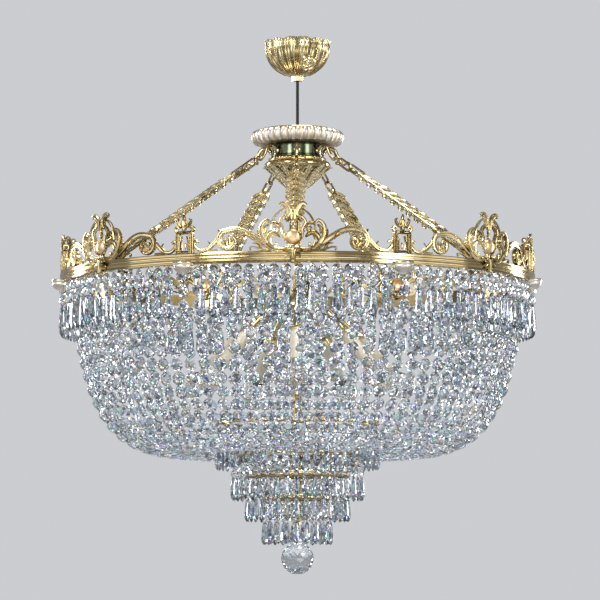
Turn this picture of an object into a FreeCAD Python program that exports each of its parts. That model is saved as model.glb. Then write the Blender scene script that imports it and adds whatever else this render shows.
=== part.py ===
"""Basket chandelier with a scrolled gallery ring, strung crystal strands and four tiers of drops.

Millimetres, +Z up. The origin is on the ceiling face of the bracket, on the axis that everything hangs from.
Azimuth 0 is the front, towards -Y, and positive azimuths turn towards +X.
"""

import FreeCAD
import Part
import math
import os

V = FreeCAD.Vector

# Overall plan
SECTORS = 7  # large ornaments, arms, pilasters and lamps: one of each in a sector
TURN = -1.0  # the whole frame is turned this many degrees from square to the front
CLEAR = 0.3  # gap between pieces that hang in or slide past each other
SEAT = 0.1  # gap at the seat of a piece on a round tube
SIDES = 18  # of the turned pieces on the axis
SMALL_SIDES = 10  # of the small turned pieces

# Ceiling fixing
BRACKET_LENGTH = 66.0
BRACKET_WIDTH = 16.0
BRACKET_THICK = 2.0
SCREW_SPACING = 50.0
SCREW_HOLE_R = 2.25
EYE_THICK = 3.0
EYE_HALF_WIDTH = 7.0
EYE_HOLE_HALF = 3.6
EYE_BAR = 4.5  # height of the bar that carries the load
EYE_DROP = 14.0  # from the bracket down to the foot of the eye
LINK_LENGTH = 25.0
LINK_BAR = 3.0
LINK_HALF_WIDTH = 6.5

# Canopy: outer profile of the cup as radius and depth below its rim
CANOPY_GAP = 3.0  # rim below the ceiling face, so that the cup can tilt with the swing
CANOPY_RIM_R = 44.3
CANOPY_DEPTH = 47.0
CANOPY_WALL = 1.4
CANOPY_FOOT_R = 11.0
CANOPY_FLUTES = 14
CANOPY_FLUTE = 0.035  # depth of a flute as a share of the radius
NUT_ACROSS = 13.0
NUT_HEIGHT = 6.5
SCREW_HEAD_R = 10.5
SCREW_HEAD_THICK = 3.5
SCREW_AZIMUTH = 24.0
SCREW_DEPTH = 33.0  # of the screw's middle below the rim
SCREW_LEAN = 38.0
SEATING_STEPS = 3  # the head is drawn in by its distance from the cup this many times

# Suspension
CABLE_R = 2.0
CABLE_EYE_LENGTH = 15.0
HUB_TOP_DEPTH = 121.0  # ceiling face to the top of the hub

# Hub
PLATE_R = 50.0
PLATE_THICK = 2.5
GADROON_R = 61.5
GADROON_FOOT_R = 54.0
GADROON_HEIGHT = 18.0
GADROONS = 14
GADROON_FLUTE = 0.03
HUB_WALL = 2.0
DRUM_R = 34.4
DRUM_HEIGHT = 18.0
MOULD_R = 44.0
MOULD_HEIGHT = 14.0
CONE_HEIGHT = 24.0
CONE_FOOT_R = 10.0
KNOB_R = 11.0
KNOB_HEIGHT = 17.0
TUBE_R = 5.0
TUBE_WALL = 1.0

# Main ring and its gallery
RING_R = 312.0
RING_WIDTH = 10.0
RING_HEIGHT = 14.0
RING_WAIST = 2.5
RING_SIDES = 70
RING_TOP_DEPTH = 316.0
GALLERY_THICK = 4.0
ORNAMENT_HEIGHT = 62.0
ORNAMENT_HALF = 38.0
BOSS_R = 8.6
BOSS_SIDES = 8
BOSS_THICK = 4.0
BOSS_RISE = 20.0
SCROLL_FOOT = 23.0  # along the ring from the ornament's middle
VOLUTE_BACK = 56.0  # along the ring from the pilaster's middle back to the volute's
SCROLL_VOLUTE_R = 13.5
VOLUTE_TURN = 200.0  # angle that the volute curls through
SCROLL_RISE = 30.0
SCROLL_BAND = 4.6
TENDRIL_GAP = 1.7  # from the curl of the tendril to the pilaster's side
TENDRIL_CURL = 2.5  # reach of the tendril's curl beyond its end
TENDRIL_DIP = 0.8  # share of the way from the volute to the tendril's end where it touches the ring
PILASTER_WIDTH = 22.0
PILASTER_HEIGHT = 29.0
PILASTER_DEPTH = 7.0
FINIAL_HEIGHT = 19.0
CUP_R = 13.5
CUP_HEIGHT = 13.0
CUP_PROUD = 0.5  # middle of the cup outside the ring's face
CUP_SIDES = 8

# Suspension arms: hook, link, loop, leaf strap and long link in a straight line
ARM_THICK = 3.0
HOOK_BELOW = 12.5  # from the gadroons' foot down to the hook's root on the drum
HOOK_REACH = 70.0
HOOK_FALL = 14.0  # from the hook's root down to its eye
HOOK_ROOT = 3.0  # length of the hook's straight root on the drum
STRAP_LENGTH = 150.0
STRAP_HALF = 12.5
STRAP_NECK = 4.2
ARM_LINK_LENGTH = 27.0
ARM_LOOP_LENGTH = 24.0
LINK_WIRE = 2.2
LINK_HALF = 5.4

# Lamps
LAMP_DEPTH = 352.0  # ceiling face to the middle of the lamp body
LAMP_BODY_R = 20.0
LAMP_BODY_HEIGHT = 24.0
LAMP_BODY_SIDES = 2 * SECTORS
LAMP_TILT = 46.0  # below the horizontal
LAMP_REACH = 84.0  # radius where the candle sleeve starts
LAMP_SLEEVE_DEPTH = 398.0
ARM_TUBE = 7.0
KNEE = 3.5  # from the bend in a lamp arm to either end of its corner
HOLDER_R = 10.5
HOLDER_LENGTH = 9.0
SLEEVE_R = 8.0
SLEEVE_LENGTH = 55.0
BULB_R = 17.0
BULB_LENGTH = 46.0
LAMP_SIDES = 8

# Tiers under the basket: each ring's radius, and its fall below the ring before it
TIER_A_R = 107.0
TIER_B_R = 86.5
TIER_C_R = 68.0
TIER_D_R = 45.5
TIER_A_DEPTH = 506.5  # ceiling face to the top of the first ring
TIER_B_FALL = 40.0
TIER_C_FALL = 27.5
TIER_D_FALL = 30.0
TIER_BAND_HEIGHT = 6.0
TIER_BAND_WIDTH = 3.0
TUBE_BELOW = 20.0  # from the foot of the last tier's band down to the foot of the tube
TIER_SIDES = 21
SPOKE_WIDTH = 5.0
SPOKE_THICK = 2.0
COLLAR_R = 9.0
TIER_PITCH = 13.0  # about, from drop to drop: the same number of drops in every sector
TIER_DROP_LENGTH = 60.0  # three small octagons and the drop below a tier ring
TIER_DROP_HALF = 5.2
DROP_THICK = 3.6
DROP_BELLY = 0.74  # share of a drop's length down to its widest place

# Crystal net: 12 strands in a sector
STRANDS = 12
STRAND_HALF = 6.5
STRAND_THICK = 4.6
STRAND_SHARE = 0.9  # of the pitch of the strands that one may fill where they crowd together
BELLY_FALL = 51.5  # from the top of the first tier's ring down to the lowest line of the net
TRIM_DROPS = 18  # in a sector
TRIM_LENGTH = 70.0
TRIM_HALF = 5.4

# Bottom finial and ball
NUT_R = 9.0
BOTTOM_NUT_HEIGHT = 9.0
BALL_R = 21.5
BALL_DROP = 56.0  # from the foot of the central tube down to the ball's middle
BALL_SIDES = 14
BALL_EYE_HALF = 3.5
BALL_EYE_HOLE = 1.8
BALL_EYE_THICK = 1.6
BALL_EYE_BAR = 1.8
BALL_LINK_WIRE = 1.4
BALL_LINK_HALF = 3.4

os.makedirs("parts", exist_ok=True)


# Frames and places

def radial(azimuth):
    """Unit vector outward at an azimuth in degrees."""
    a = math.radians(azimuth + TURN)
    return V(math.sin(a), -math.cos(a), 0)


def tangent(azimuth):
    a = math.radians(azimuth + TURN)
    return V(math.cos(a), math.sin(a), 0)


def sector_azimuths(half=False):
    """Azimuths of the large ornaments, or of the pilasters between them."""
    step = 360.0 / SECTORS
    return [(i + (0.5 if half else 0.0)) * step for i in range(SECTORS)]


# Solids from points

def polyhedron(points, faces):
    """A closed solid of flat faces, each given as a tuple of point numbers."""
    flat = [Part.Face(Part.makePolygon([points[i] for i in f] + [points[f[0]]])) for f in faces]
    solid = Part.makeSolid(Part.makeShell(flat))
    if solid.Volume < 0:
        solid.reverse()
    return solid


def rings_of_points(levels, sides, flute):
    """Points round the Z axis at each (radius, z); every second one is drawn in by the flute's share."""
    points = []
    for r, z in levels:
        for i in range(sides):
            a = 2 * math.pi * i / sides
            share = 1 - flute * (i % 2)
            points.append(V(r * share * math.cos(a), r * share * math.sin(a), z))
    return points


def wall_faces(first, second, sides):
    """Faces between two rings of points, given by their numbers in the list of rings."""
    a, b = first * sides, second * sides
    return [(a + i, a + (i + 1) % sides, b + (i + 1) % sides, b + i) for i in range(sides)]


def turned_ring(profile, sides, flute=0.0):
    """A many-sided solid round the axis with a bore, from its closed (radius, z) profile."""
    count = len(profile)
    faces = []
    for k in range(count):
        faces += wall_faces(k, (k + 1) % count, sides)
    return polyhedron(rings_of_points(profile, sides, flute), faces)


def turned_solid(levels, sides):
    """A many-sided solid round the axis with flat ends, from its outer (radius, z) levels."""
    last = len(levels) - 1
    faces = [tuple(range(sides)), tuple(range(last * sides, (last + 1) * sides))]
    for k in range(last):
        faces += wall_faces(k, k + 1, sides)
    return polyhedron(rings_of_points(levels, sides, 0.0), faces)


def stood(solid, point, axis):
    """A solid made on the Z axis, set at a point along another axis."""
    solid.Placement = FreeCAD.Placement(point, FreeCAD.Rotation(V(0, 0, 1), axis))
    return solid


def plate(outline, origin, u, v, normal, thick, holes=()):
    """A flat plate: outline and holes are (u, v) points, and the thickness is centred on the origin."""
    def face_of(points):
        at = [origin + u * p + v * q - normal * (thick / 2) for p, q in points]
        return Part.Face(Part.makePolygon(at + [at[0]]))

    face = face_of(outline)
    for hole in holes:
        face = face.cut(face_of(hole))
    return face.extrude(normal * thick)


def fused(*solids):
    return solids[0].fuse(list(solids[1:])).removeSplitter()


# Curves in a plane

def bezier(p0, p1, p2, p3, steps):
    """Points along a cubic curve, both ends included."""
    out = []
    for i in range(steps + 1):
        t = i / steps
        a, b, c, d = (1 - t) ** 3, 3 * t * (1 - t) ** 2, 3 * t * t * (1 - t), t ** 3
        out.append(tuple(a * p0[k] + b * p1[k] + c * p2[k] + d * p3[k] for k in (0, 1)))
    return out


def arc(centre, radius, start, end, steps):
    """Points along a circular arc, both ends included, angles in degrees."""
    turn = [math.radians(start + (end - start) * i / steps) for i in range(steps + 1)]
    return [(centre[0] + radius * math.cos(a), centre[1] + radius * math.sin(a)) for a in turn]


def ribbon(path, start_width, end_width):
    """Outline of a band along a path, its width changing evenly from start to end."""
    left, right = [], []
    last = len(path) - 1
    for i, (x, y) in enumerate(path):
        before, after = path[max(i - 1, 0)], path[min(i + 1, last)]
        dx, dy = after[0] - before[0], after[1] - before[1]
        size = math.hypot(dx, dy)
        half = (start_width + (end_width - start_width) * i / last) / 2
        left.append((x - dy / size * half, y + dx / size * half))
        right.append((x + dy / size * half, y - dx / size * half))
    return left + right[::-1]


def mirrored(half):
    """A closed outline from its right half, which runs from the bottom to the top of the axis."""
    return half + [(-x, y) for x, y in half[::-1] if abs(x) > 0.01]


def oval(half_length, half_width, corner):
    """An elongated octagon."""
    a, b, c = half_length, half_width, corner
    upper = [(a, b - c), (a - c, b), (c - a, b), (-a, b - c)]
    return upper + [(x, -y) for x, y in upper[::-1]]


def frame_outline(half_length, half_width):
    a, b = half_length, half_width
    return [(a, b), (-a, b), (-a, -b), (a, -b)]


# Ceiling fixing

EYE_FOOT = -BRACKET_THICK - EYE_DROP
LINK_TOP = EYE_FOOT + EYE_BAR + CLEAR + LINK_BAR
LINK_FOOT = LINK_TOP - LINK_LENGTH
CABLE_EYE_TOP = LINK_FOOT + LINK_BAR + CLEAR + EYE_BAR - 1.5
CABLE_TOP = CABLE_EYE_TOP - CABLE_EYE_LENGTH


def ceiling_bracket():
    """Flat bar along Y with two screw holes."""
    bar = Part.makeBox(BRACKET_WIDTH, BRACKET_LENGTH, BRACKET_THICK,
                       V(-BRACKET_WIDTH / 2, -BRACKET_LENGTH / 2, -BRACKET_THICK))
    for side in (-1, 1):
        at = V(0, side * SCREW_SPACING / 2, -BRACKET_THICK - 1)
        bar = bar.cut(Part.makeCylinder(SCREW_HOLE_R, BRACKET_THICK + 2, at))
    return [bar]


def ceiling_eye():
    """Eye plate under the bracket, in the XZ plane."""
    w, h, hole = EYE_HALF_WIDTH, EYE_DROP, EYE_HOLE_HALF
    outline = [(-w, 0), (w, 0), (w, -h + 3), (w - 3, -h), (3 - w, -h), (-w, -h + 3)]
    gap = [(-hole, -3), (hole, -3), (hole, EYE_BAR - h), (-hole, EYE_BAR - h)]
    return [plate(outline, V(0, 0, -BRACKET_THICK), V(1, 0, 0), V(0, 0, 1), V(0, -1, 0), EYE_THICK, [gap])]


def hanger_link():
    """Flat link in the YZ plane, through the ceiling eye and the cable's eye."""
    middle = V(0, 0, (LINK_TOP + LINK_FOOT) / 2)
    outer = oval(LINK_LENGTH / 2, LINK_HALF_WIDTH, 3)
    inner = oval(LINK_LENGTH / 2 - LINK_BAR, LINK_HALF_WIDTH - 2.5, 1.5)
    return [plate(outer, middle, V(0, 0, 1), V(0, 1, 0), V(1, 0, 0), LINK_BAR, [inner])]


def cable_eye():
    """Terminal that the cable ends in, in the XZ plane."""
    w, h, hole = 6.0, CABLE_EYE_LENGTH, EYE_HOLE_HALF
    top = EYE_BAR - 1.5
    outline = [(-w, -2), (2 - w, 0), (w - 2, 0), (w, -2), (w, 5 - h), (3, -h), (-3, -h), (-w, 5 - h)]
    gap = [(-hole, -top), (hole, -top), (hole, 5 - h), (-hole, 5 - h)]
    origin = V(0, 0, CABLE_EYE_TOP)
    return [plate(outline, origin, V(1, 0, 0), V(0, 0, 1), V(0, -1, 0), EYE_THICK, [gap])]


# Canopy

CANOPY_RIM = -CANOPY_GAP
CANOPY_FOOT = CANOPY_RIM - CANOPY_DEPTH


def canopy_radius(depth):
    """Outer radius of the cup at a depth below its rim: nearly straight, then rounding in to the foot."""
    t = depth / CANOPY_DEPTH
    return CANOPY_FOOT_R + (CANOPY_RIM_R - CANOPY_FOOT_R) * (1 - t ** 3.2) ** 0.8 * (1 - 0.12 * t)


def canopy_cup():
    """Cup with a scalloped, fluted wall that rounds in to its foot."""
    depths = [CANOPY_DEPTH * k for k in (0, 0.5, 0.84, 1.0)]
    outer = [(canopy_radius(d), CANOPY_RIM - d) for d in depths]
    share = 1 - CANOPY_WALL / CANOPY_DEPTH
    inner = [(canopy_radius(d) - CANOPY_WALL, CANOPY_RIM - d * share) for d in depths]
    bore = CABLE_R + 2 * CLEAR
    foot = [(bore, CANOPY_FOOT), (bore, CANOPY_FOOT + CANOPY_WALL)]
    return [turned_ring(outer + foot + inner[::-1], 2 * CANOPY_FLUTES, CANOPY_FLUTE)]


def canopy_nut():
    """Hexagonal grip nut that holds the cup on the cable."""
    corner = NUT_ACROSS / math.sqrt(3)
    bore = CABLE_R + CLEAR
    top, foot = CANOPY_FOOT, CANOPY_FOOT - NUT_HEIGHT
    return [turned_ring([(bore / math.cos(math.pi / 6), top), (corner, top), (corner, foot),
                         (bore / math.cos(math.pi / 6), foot)], 6)]


def canopy_screw():
    """Round head of the clamping screw on the side of the cup."""
    out = radial(SCREW_AZIMUTH)
    seat = out * canopy_radius(SCREW_DEPTH) + V(0, 0, CANOPY_RIM - SCREW_DEPTH)
    a = math.radians(SCREW_LEAN)
    axis = out * math.cos(a) - V(0, 0, math.sin(a))
    r, thick = SCREW_HEAD_R, SCREW_HEAD_THICK
    domed = turned_solid([(r, 0), (r, 0.3 * thick), (0.7 * r, thick)], SMALL_SIDES)
    head = stood(domed, seat + axis * thick, axis)
    cup = canopy_cup()[0]
    for _ in range(SEATING_STEPS):
        head.translate(axis * (SEAT - head.distToShape(cup)[0]))
    return [head]


# Suspension and hub

HUB_TOP = -HUB_TOP_DEPTH
PLATE_FOOT = HUB_TOP - PLATE_THICK
GADROON_FOOT = PLATE_FOOT - GADROON_HEIGHT
DRUM_FOOT = GADROON_FOOT - DRUM_HEIGHT
MOULD_FOOT = DRUM_FOOT - MOULD_HEIGHT
CONE_FOOT = MOULD_FOOT - CONE_HEIGHT
KNOB_FOOT = CONE_FOOT - KNOB_HEIGHT
BORE_R = (TUBE_R + SEAT) / math.cos(math.pi / SMALL_SIDES)  # corners of a many-sided bore round the tube


def suspension_cable():
    return [Part.makeCylinder(CABLE_R, CABLE_TOP - HUB_TOP, V(0, 0, HUB_TOP))]


def hub_top_plate():
    return [turned_solid([(PLATE_R, HUB_TOP), (PLATE_R, PLATE_FOOT)], 2 * GADROONS)]


def hub_gadroon_ring():
    """Bulging rim that closes under itself on to the drum."""
    w, top, foot = HUB_WALL, PLATE_FOOT, GADROON_FOOT
    bulge = top - 0.3 * GADROON_HEIGHT
    outer = [(PLATE_R, top), (GADROON_R, bulge), (GADROON_FOOT_R, foot)]
    inner = [(DRUM_R - w, foot), (DRUM_R - w, foot + w), (GADROON_FOOT_R - w, foot + w), (PLATE_R - w, top)]
    return [turned_ring(outer + inner, 2 * GADROONS, GADROON_FLUTE)]


def hub_drum():
    w = HUB_WALL
    return [turned_ring([(DRUM_R, GADROON_FOOT), (DRUM_R, DRUM_FOOT), (DRUM_R - w, DRUM_FOOT),
                         (DRUM_R - w, GADROON_FOOT)], SIDES)]


def hub_moulding():
    """Stepped moulding under the drum, with a floor that the tube passes through."""
    w, top, foot = HUB_WALL, DRUM_FOOT, MOULD_FOOT
    outer = [(DRUM_R + 3, top), (DRUM_R + 3, top - 0.4 * MOULD_HEIGHT), (MOULD_R, top - 0.7 * MOULD_HEIGHT),
             (MOULD_R, foot)]
    inner = [(BORE_R, foot), (BORE_R, foot + w), (DRUM_R - w, foot + w), (DRUM_R - w, top)]
    return [turned_ring(outer + inner, SIDES)]


def hub_leaf_cone():
    """Pierced leaf cone, a hollow shell that narrows in a concave line."""
    w, top, foot = HUB_WALL, MOULD_FOOT, CONE_FOOT
    waist, waist_z = 0.62 * MOULD_R, top - 0.55 * CONE_HEIGHT
    outer = [(MOULD_R - 1, top), (waist, waist_z), (CONE_FOOT_R, foot)]
    inner = [(BORE_R, foot), (BORE_R, foot + w), (waist - w, waist_z + w), (MOULD_R - 1 - w, top)]
    return [turned_ring(outer + inner, SIDES)]


def hub_knob():
    top, foot = CONE_FOOT, KNOB_FOOT
    rise = KNOB_HEIGHT
    outer = [(KNOB_R - 3, top), (KNOB_R, top - 0.3 * rise), (KNOB_R - 4, top - 0.65 * rise),
             (KNOB_R - 2.5, top - 0.85 * rise), (TUBE_R + 1.5, foot)]
    return [turned_ring(outer + [(BORE_R, foot), (BORE_R, top)], SMALL_SIDES)]


def central_tube():
    """Threaded tube from inside the hub down to the lowest tier."""
    top, foot = DRUM_FOOT - 2, TUBE_FOOT
    inner = TUBE_R - TUBE_WALL
    return [turned_ring([(inner, top), (TUBE_R, top), (TUBE_R, foot), (inner, foot)], SMALL_SIDES)]


# Suspension arms

HOOK_LEVEL = GADROON_FOOT - HOOK_BELOW
RING_TOP = -RING_TOP_DEPTH
RING_FOOT = RING_TOP - RING_HEIGHT
LUG_REACH = 12.0  # from the ring's inner face to the middle of the lug's eye
LUG_RISE = 2.0  # of the eye's middle above the ring's top
LUG_ROOT = 4.0  # length of the lug inside the ring's section
EYE_HALF = 4.6  # half the outside of an eye in the arm's line
EYE_GAP = 2.6  # half its hole


def arm_line():
    """Start, end, direction and upward normal of the arm's straight run, in (radius, z)."""
    start = (HOOK_REACH, HOOK_LEVEL - HOOK_FALL)
    end = (RING_R - RING_WIDTH - LUG_REACH, RING_TOP + LUG_RISE)
    length = math.hypot(end[0] - start[0], end[1] - start[1])
    along = ((end[0] - start[0]) / length, (end[1] - start[1]) / length)
    return start, length, along


def arm_place(azimuth, distance):
    """Point on the arm's line, and its direction, at a distance from the hook's eye."""
    start, length, along = arm_line()
    out = radial(azimuth)
    point = out * (start[0] + along[0] * distance) + V(0, 0, start[1] + along[1] * distance)
    direction = out * along[0] + V(0, 0, along[1])
    return point, direction


def arm_hook(azimuth):
    """S-shaped hook from the drum to the eye that the first link hangs in."""
    root = HOOK_LEVEL + 2
    path = [(DRUM_R + SEAT, root)]
    path += bezier((DRUM_R + HOOK_ROOT, root), (DRUM_R + 14, root + 9), (DRUM_R + 20, root - 8),
                   (HOOK_REACH - 3.6, HOOK_LEVEL - HOOK_FALL + 1.8), 4)
    up = V(0, 0, 1)
    bar = plate(ribbon(path, 4.2, 3.2), V(0, 0, 0), radial(azimuth), up, tangent(azimuth), ARM_THICK)
    eye = plate(frame_outline(EYE_HALF, EYE_HALF), arm_place(azimuth, 0)[0], radial(azimuth), up,
                tangent(azimuth), ARM_THICK, [frame_outline(EYE_GAP, EYE_GAP)])
    return fused(bar, eye)


def arm_piece(azimuth, start, length, sideways, outer, inner):
    """A flat link on the arm's line, its plane holding the tangent if sideways, or else the axis."""
    middle, direction = arm_place(azimuth, start + length / 2)
    side = tangent(azimuth)
    normal = direction.cross(side)
    across, through = (side, normal) if sideways else (normal, side)
    return plate(outer, middle, direction, across, through, LINK_WIRE, inner)


# Each piece of the arm starts where its end bar hangs in the eye before it.
LINK_START = EYE_GAP - CLEAR - LINK_WIRE - 0.1
LOOP_START = LINK_START + ARM_LINK_LENGTH - 2 * LINK_WIRE - CLEAR
STRAP_START = LOOP_START + ARM_LOOP_LENGTH - 2 * LINK_WIRE - CLEAR
LONG_START = STRAP_START + STRAP_LENGTH - 2 * LINK_WIRE - CLEAR


def long_link_length():
    """From the strap's end eye into the eye of the lug on the ring."""
    return arm_line()[1] - EYE_GAP + CLEAR + LINK_WIRE - LONG_START


def arm_links():
    out = []
    for azimuth in sector_azimuths():
        ends = ((LINK_START, ARM_LINK_LENGTH, True), (LOOP_START, ARM_LOOP_LENGTH, False),
                (LONG_START, long_link_length(), False))
        for start, length, sideways in ends:
            outer = frame_outline(length / 2, LINK_HALF)
            inner = frame_outline(length / 2 - LINK_WIRE, LINK_HALF - LINK_WIRE)
            out.append(arm_piece(azimuth, start, length, sideways, outer, [inner]))
    return out


def arm_leaf_straps():
    """Cast leaf straps: three pairs of leaf lobes, with an eye at each end."""
    half, neck = STRAP_LENGTH / 2, STRAP_NECK
    lobes = [(-half, neck), (-0.82 * half, neck)]
    for tip, base in ((-0.42, -0.3), (0.1, 0.22), (0.62, 0.74)):
        lobes += [(tip * half, STRAP_HALF), (base * half, 0.5 * STRAP_HALF)]
    lobes += [(half, neck)]
    outline = lobes + [(x, -y) for x, y in lobes[::-1]]
    size = 1.1 * LINK_WIRE
    eye = half - LINK_WIRE - size
    holes = [[(x + s * eye, y) for x, y in frame_outline(size, size)] for s in (-1, 1)]
    return [arm_piece(a, STRAP_START, STRAP_LENGTH, True, outline, holes) for a in sector_azimuths()]


def arm_hooks():
    return [arm_hook(a) for a in sector_azimuths()]


# Main ring and gallery

def main_ring():
    """Ring with a waist between its top and foot edges, and eye lugs inside it for the arms."""
    inner, top, foot = RING_R - RING_WIDTH, RING_TOP, RING_FOOT
    waist = RING_R - RING_WAIST
    profile = [(inner, top), (RING_R, top), (waist, top - 0.3 * RING_HEIGHT), (RING_R, foot), (inner, foot)]
    ring = turned_ring(profile, RING_SIDES)
    length, along = arm_line()[1:]
    into = LUG_REACH / along[0] + LUG_ROOT
    outline = [(-EYE_HALF, -EYE_HALF), (into, -EYE_HALF), (into, EYE_HALF), (-EYE_HALF, EYE_HALF)]
    eye = [frame_outline(EYE_GAP, EYE_GAP)]
    lugs = [arm_piece(a, length, 0.0, True, outline, eye) for a in sector_azimuths()]
    return [fused(ring, *lugs)]


SCROLL_R = RING_R - RING_WIDTH + 1.4  # middle of a scroll where its plate is nearest the axis
HALF_PITCH = math.pi * SCROLL_R / SECTORS  # along the scrolls, from an ornament's middle to a pilaster's
VOLUTE_PLACE = HALF_PITCH - VOLUTE_BACK
TENDRIL_END = HALF_PITCH - PILASTER_WIDTH / 2 - TENDRIL_GAP - TENDRIL_CURL
ORNAMENT_R = RING_R - 1.0
PILASTER_R = RING_R - RING_WIDTH / 2


def gallery_plate(azimuth, radius, outline, holes=(), thick=GALLERY_THICK):
    """A casting that stands on the ring: outline in (along, up) from the ring's top at this azimuth."""
    origin = radial(azimuth) * radius + V(0, 0, RING_TOP)
    return plate(outline, origin, tangent(azimuth), V(0, 0, 1), radial(azimuth), thick, holes)


def crown_ornaments():
    """Large openwork ornament: paired leaves and horns round a pierced middle, with a round boss."""
    w, h = ORNAMENT_HALF, ORNAMENT_HEIGHT
    half = [(0, 0), (0.45 * w, 0)]
    half += bezier((0.62 * w, 0.07 * h), (0.95 * w, 0.12 * h), (1.1 * w, 0.4 * h), (0.92 * w, 0.66 * h), 3)
    half += [(0.72 * w, 0.6 * h), (0.58 * w, 0.86 * h), (0.3 * w, h), (0.14 * w, 0.88 * h), (0, 0.86 * h)]
    outline = mirrored(half)
    lower = [(0.3 * w, 0.14 * h), (0.52 * w, 0.12 * h), (0.62 * w, 0.3 * h), (0.34 * w, 0.36 * h)]
    upper = [(0.34 * w, 0.48 * h), (0.56 * w, 0.56 * h), (0.4 * w, 0.82 * h)]
    holes = []
    for hole in (lower, upper):
        holes += [hole, [(-x, y) for x, y in hole]]
    out = []
    for azimuth in sector_azimuths():
        out.append(gallery_plate(azimuth, ORNAMENT_R, outline, holes))
        face = ORNAMENT_R + GALLERY_THICK / 2 + BOSS_THICK / 2
        disc = arc((0, BOSS_RISE), BOSS_R, 0, 360, BOSS_SIDES)[1:]
        out.append(gallery_plate(azimuth, face, disc, thick=BOSS_THICK))
    return out


def scroll_plate(azimuth, side):
    """C-scroll that rises from the ornament and curls in a volute, with a tendril on to the pilaster."""
    top = (VOLUTE_PLACE, SCROLL_VOLUTE_R + 2.2 + SCROLL_VOLUTE_R)
    centre = (VOLUTE_PLACE, top[1] - SCROLL_VOLUTE_R)
    sweep = bezier((SCROLL_FOOT, 2.3), (0.6 * VOLUTE_PLACE, 0.6 * SCROLL_RISE),
                   (0.78 * VOLUTE_PLACE, 1.16 * SCROLL_RISE), top, 4)
    path = sweep + arc(centre, SCROLL_VOLUTE_R, 90, 90 - VOLUTE_TURN, 4)[1:]
    near = (centre[0] + SCROLL_VOLUTE_R, centre[1] + 3)
    dip = (VOLUTE_PLACE + TENDRIL_DIP * (TENDRIL_END - VOLUTE_PLACE), 2.6)
    tendril = bezier(near, (near[0] + 8, near[1] - 2), (dip[0] - 10, dip[1]), dip, 2)
    tendril += bezier(dip, (dip[0] + 10, dip[1]), (TENDRIL_END + 2 * TENDRIL_CURL, 11),
                      (TENDRIL_END, 16), 2)[1:]
    middle = (SCROLL_FOOT + TENDRIL_END) / 2
    at = azimuth + side * math.degrees(middle / SCROLL_R)
    bands = []
    for line, widths in ((path, (SCROLL_BAND, 3.4)), (tendril, (3.4, 2.6))):
        outline = [(side * (x - middle), y) for x, y in ribbon(line, *widths)]
        bands.append(gallery_plate(at, SCROLL_R, outline))
    return fused(*bands)


def crown_scrolls():
    return [scroll_plate(a, side) for a in sector_azimuths() for side in (-1, 1)]


def crown_pilasters():
    """Small framed pilaster with an open window and a three-lobed finial."""
    w, h, f = PILASTER_WIDTH / 2, PILASTER_HEIGHT, FINIAL_HEIGHT
    half = [(0, 0), (w, 0), (w, h), (w + 1, h + 0.15 * f), (0.45 * w, h + 0.2 * f), (0.5 * w, h + 0.55 * f),
            (0, h + f)]
    window = [(x, y + 0.5 * h) for x, y in frame_outline(0.5 * w, 0.34 * h)]
    places = sector_azimuths(True)
    return [gallery_plate(a, PILASTER_R, mirrored(half), [window], PILASTER_DEPTH) for a in places]


def pilaster_cups():
    """Bright dish under the ring at each pilaster, on the ring's foot."""
    levels = [(0.8 * CUP_R, 0), (CUP_R, -0.35 * CUP_HEIGHT), (0.4 * CUP_R, -CUP_HEIGHT)]
    out = []
    for azimuth in sector_azimuths(True):
        dish = turned_solid(levels, CUP_SIDES)
        dish.translate(radial(azimuth) * (RING_R + CUP_PROUD) + V(0, 0, RING_FOOT))
        out.append(dish)
    return out


# Lamps

LAMP_MIDDLE = -LAMP_DEPTH


def lamp_frame(azimuth):
    """Start of the candle sleeve and its direction, outward and down."""
    a = math.radians(LAMP_TILT)
    out = radial(azimuth)
    start = out * LAMP_REACH + V(0, 0, -LAMP_SLEEVE_DEPTH)
    return start, out * math.cos(a) - V(0, 0, math.sin(a))


def lamp_body():
    """Turned body on the tube that the lamp arms spring from."""
    r, h, m = LAMP_BODY_R, LAMP_BODY_HEIGHT / 2, LAMP_MIDDLE
    return [turned_ring([(BORE_R, m + h), (0.6 * r, m + h), (r, m + 0.45 * h), (r, m - 0.45 * h),
                         (0.6 * r, m - h), (BORE_R, m - h)], LAMP_BODY_SIDES)]


def lamp_arms():
    """Bent square tube from the lamp body to each holder."""
    tilt = math.radians(LAMP_TILT)
    slope = math.tan(tilt)
    seat = (LAMP_REACH - HOLDER_LENGTH * math.cos(tilt), HOLDER_LENGTH * math.sin(tilt) - LAMP_SLEEVE_DEPTH)
    knee = seat[0] - (LAMP_MIDDLE - seat[1]) / slope
    root = LAMP_BODY_R * math.cos(math.pi / LAMP_BODY_SIDES) + SEAT
    path = [(root, LAMP_MIDDLE), (knee - KNEE, LAMP_MIDDLE),
            (knee + KNEE, LAMP_MIDDLE - KNEE * slope), seat]
    bends = [0, tilt / 3, tilt / 1.3, tilt]
    half = ARM_TUBE / 2
    upper = [(r + half * math.sin(a), z + half * math.cos(a)) for (r, z), a in zip(path, bends)]
    lower = [(r - half * math.sin(a), z - half * math.cos(a)) for (r, z), a in zip(path, bends)]
    outline = upper + lower[::-1]
    origin, up = V(0, 0, 0), V(0, 0, 1)
    return [plate(outline, origin, radial(a), up, tangent(a), ARM_TUBE) for a in sector_azimuths()]


def lamp_holders():
    out = []
    for azimuth in sector_azimuths():
        start, axis = lamp_frame(azimuth)
        cup = turned_solid([(HOLDER_R * 0.6, -HOLDER_LENGTH), (HOLDER_R, 0)], LAMP_SIDES)
        out.append(stood(cup, start, axis))
    return out


def candle_sleeves():
    out = []
    for azimuth in sector_azimuths():
        start, axis = lamp_frame(azimuth)
        sleeve = turned_solid([(SLEEVE_R, 0), (SLEEVE_R, SLEEVE_LENGTH)], LAMP_SIDES)
        out.append(stood(sleeve, start, axis))
    return out


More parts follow.
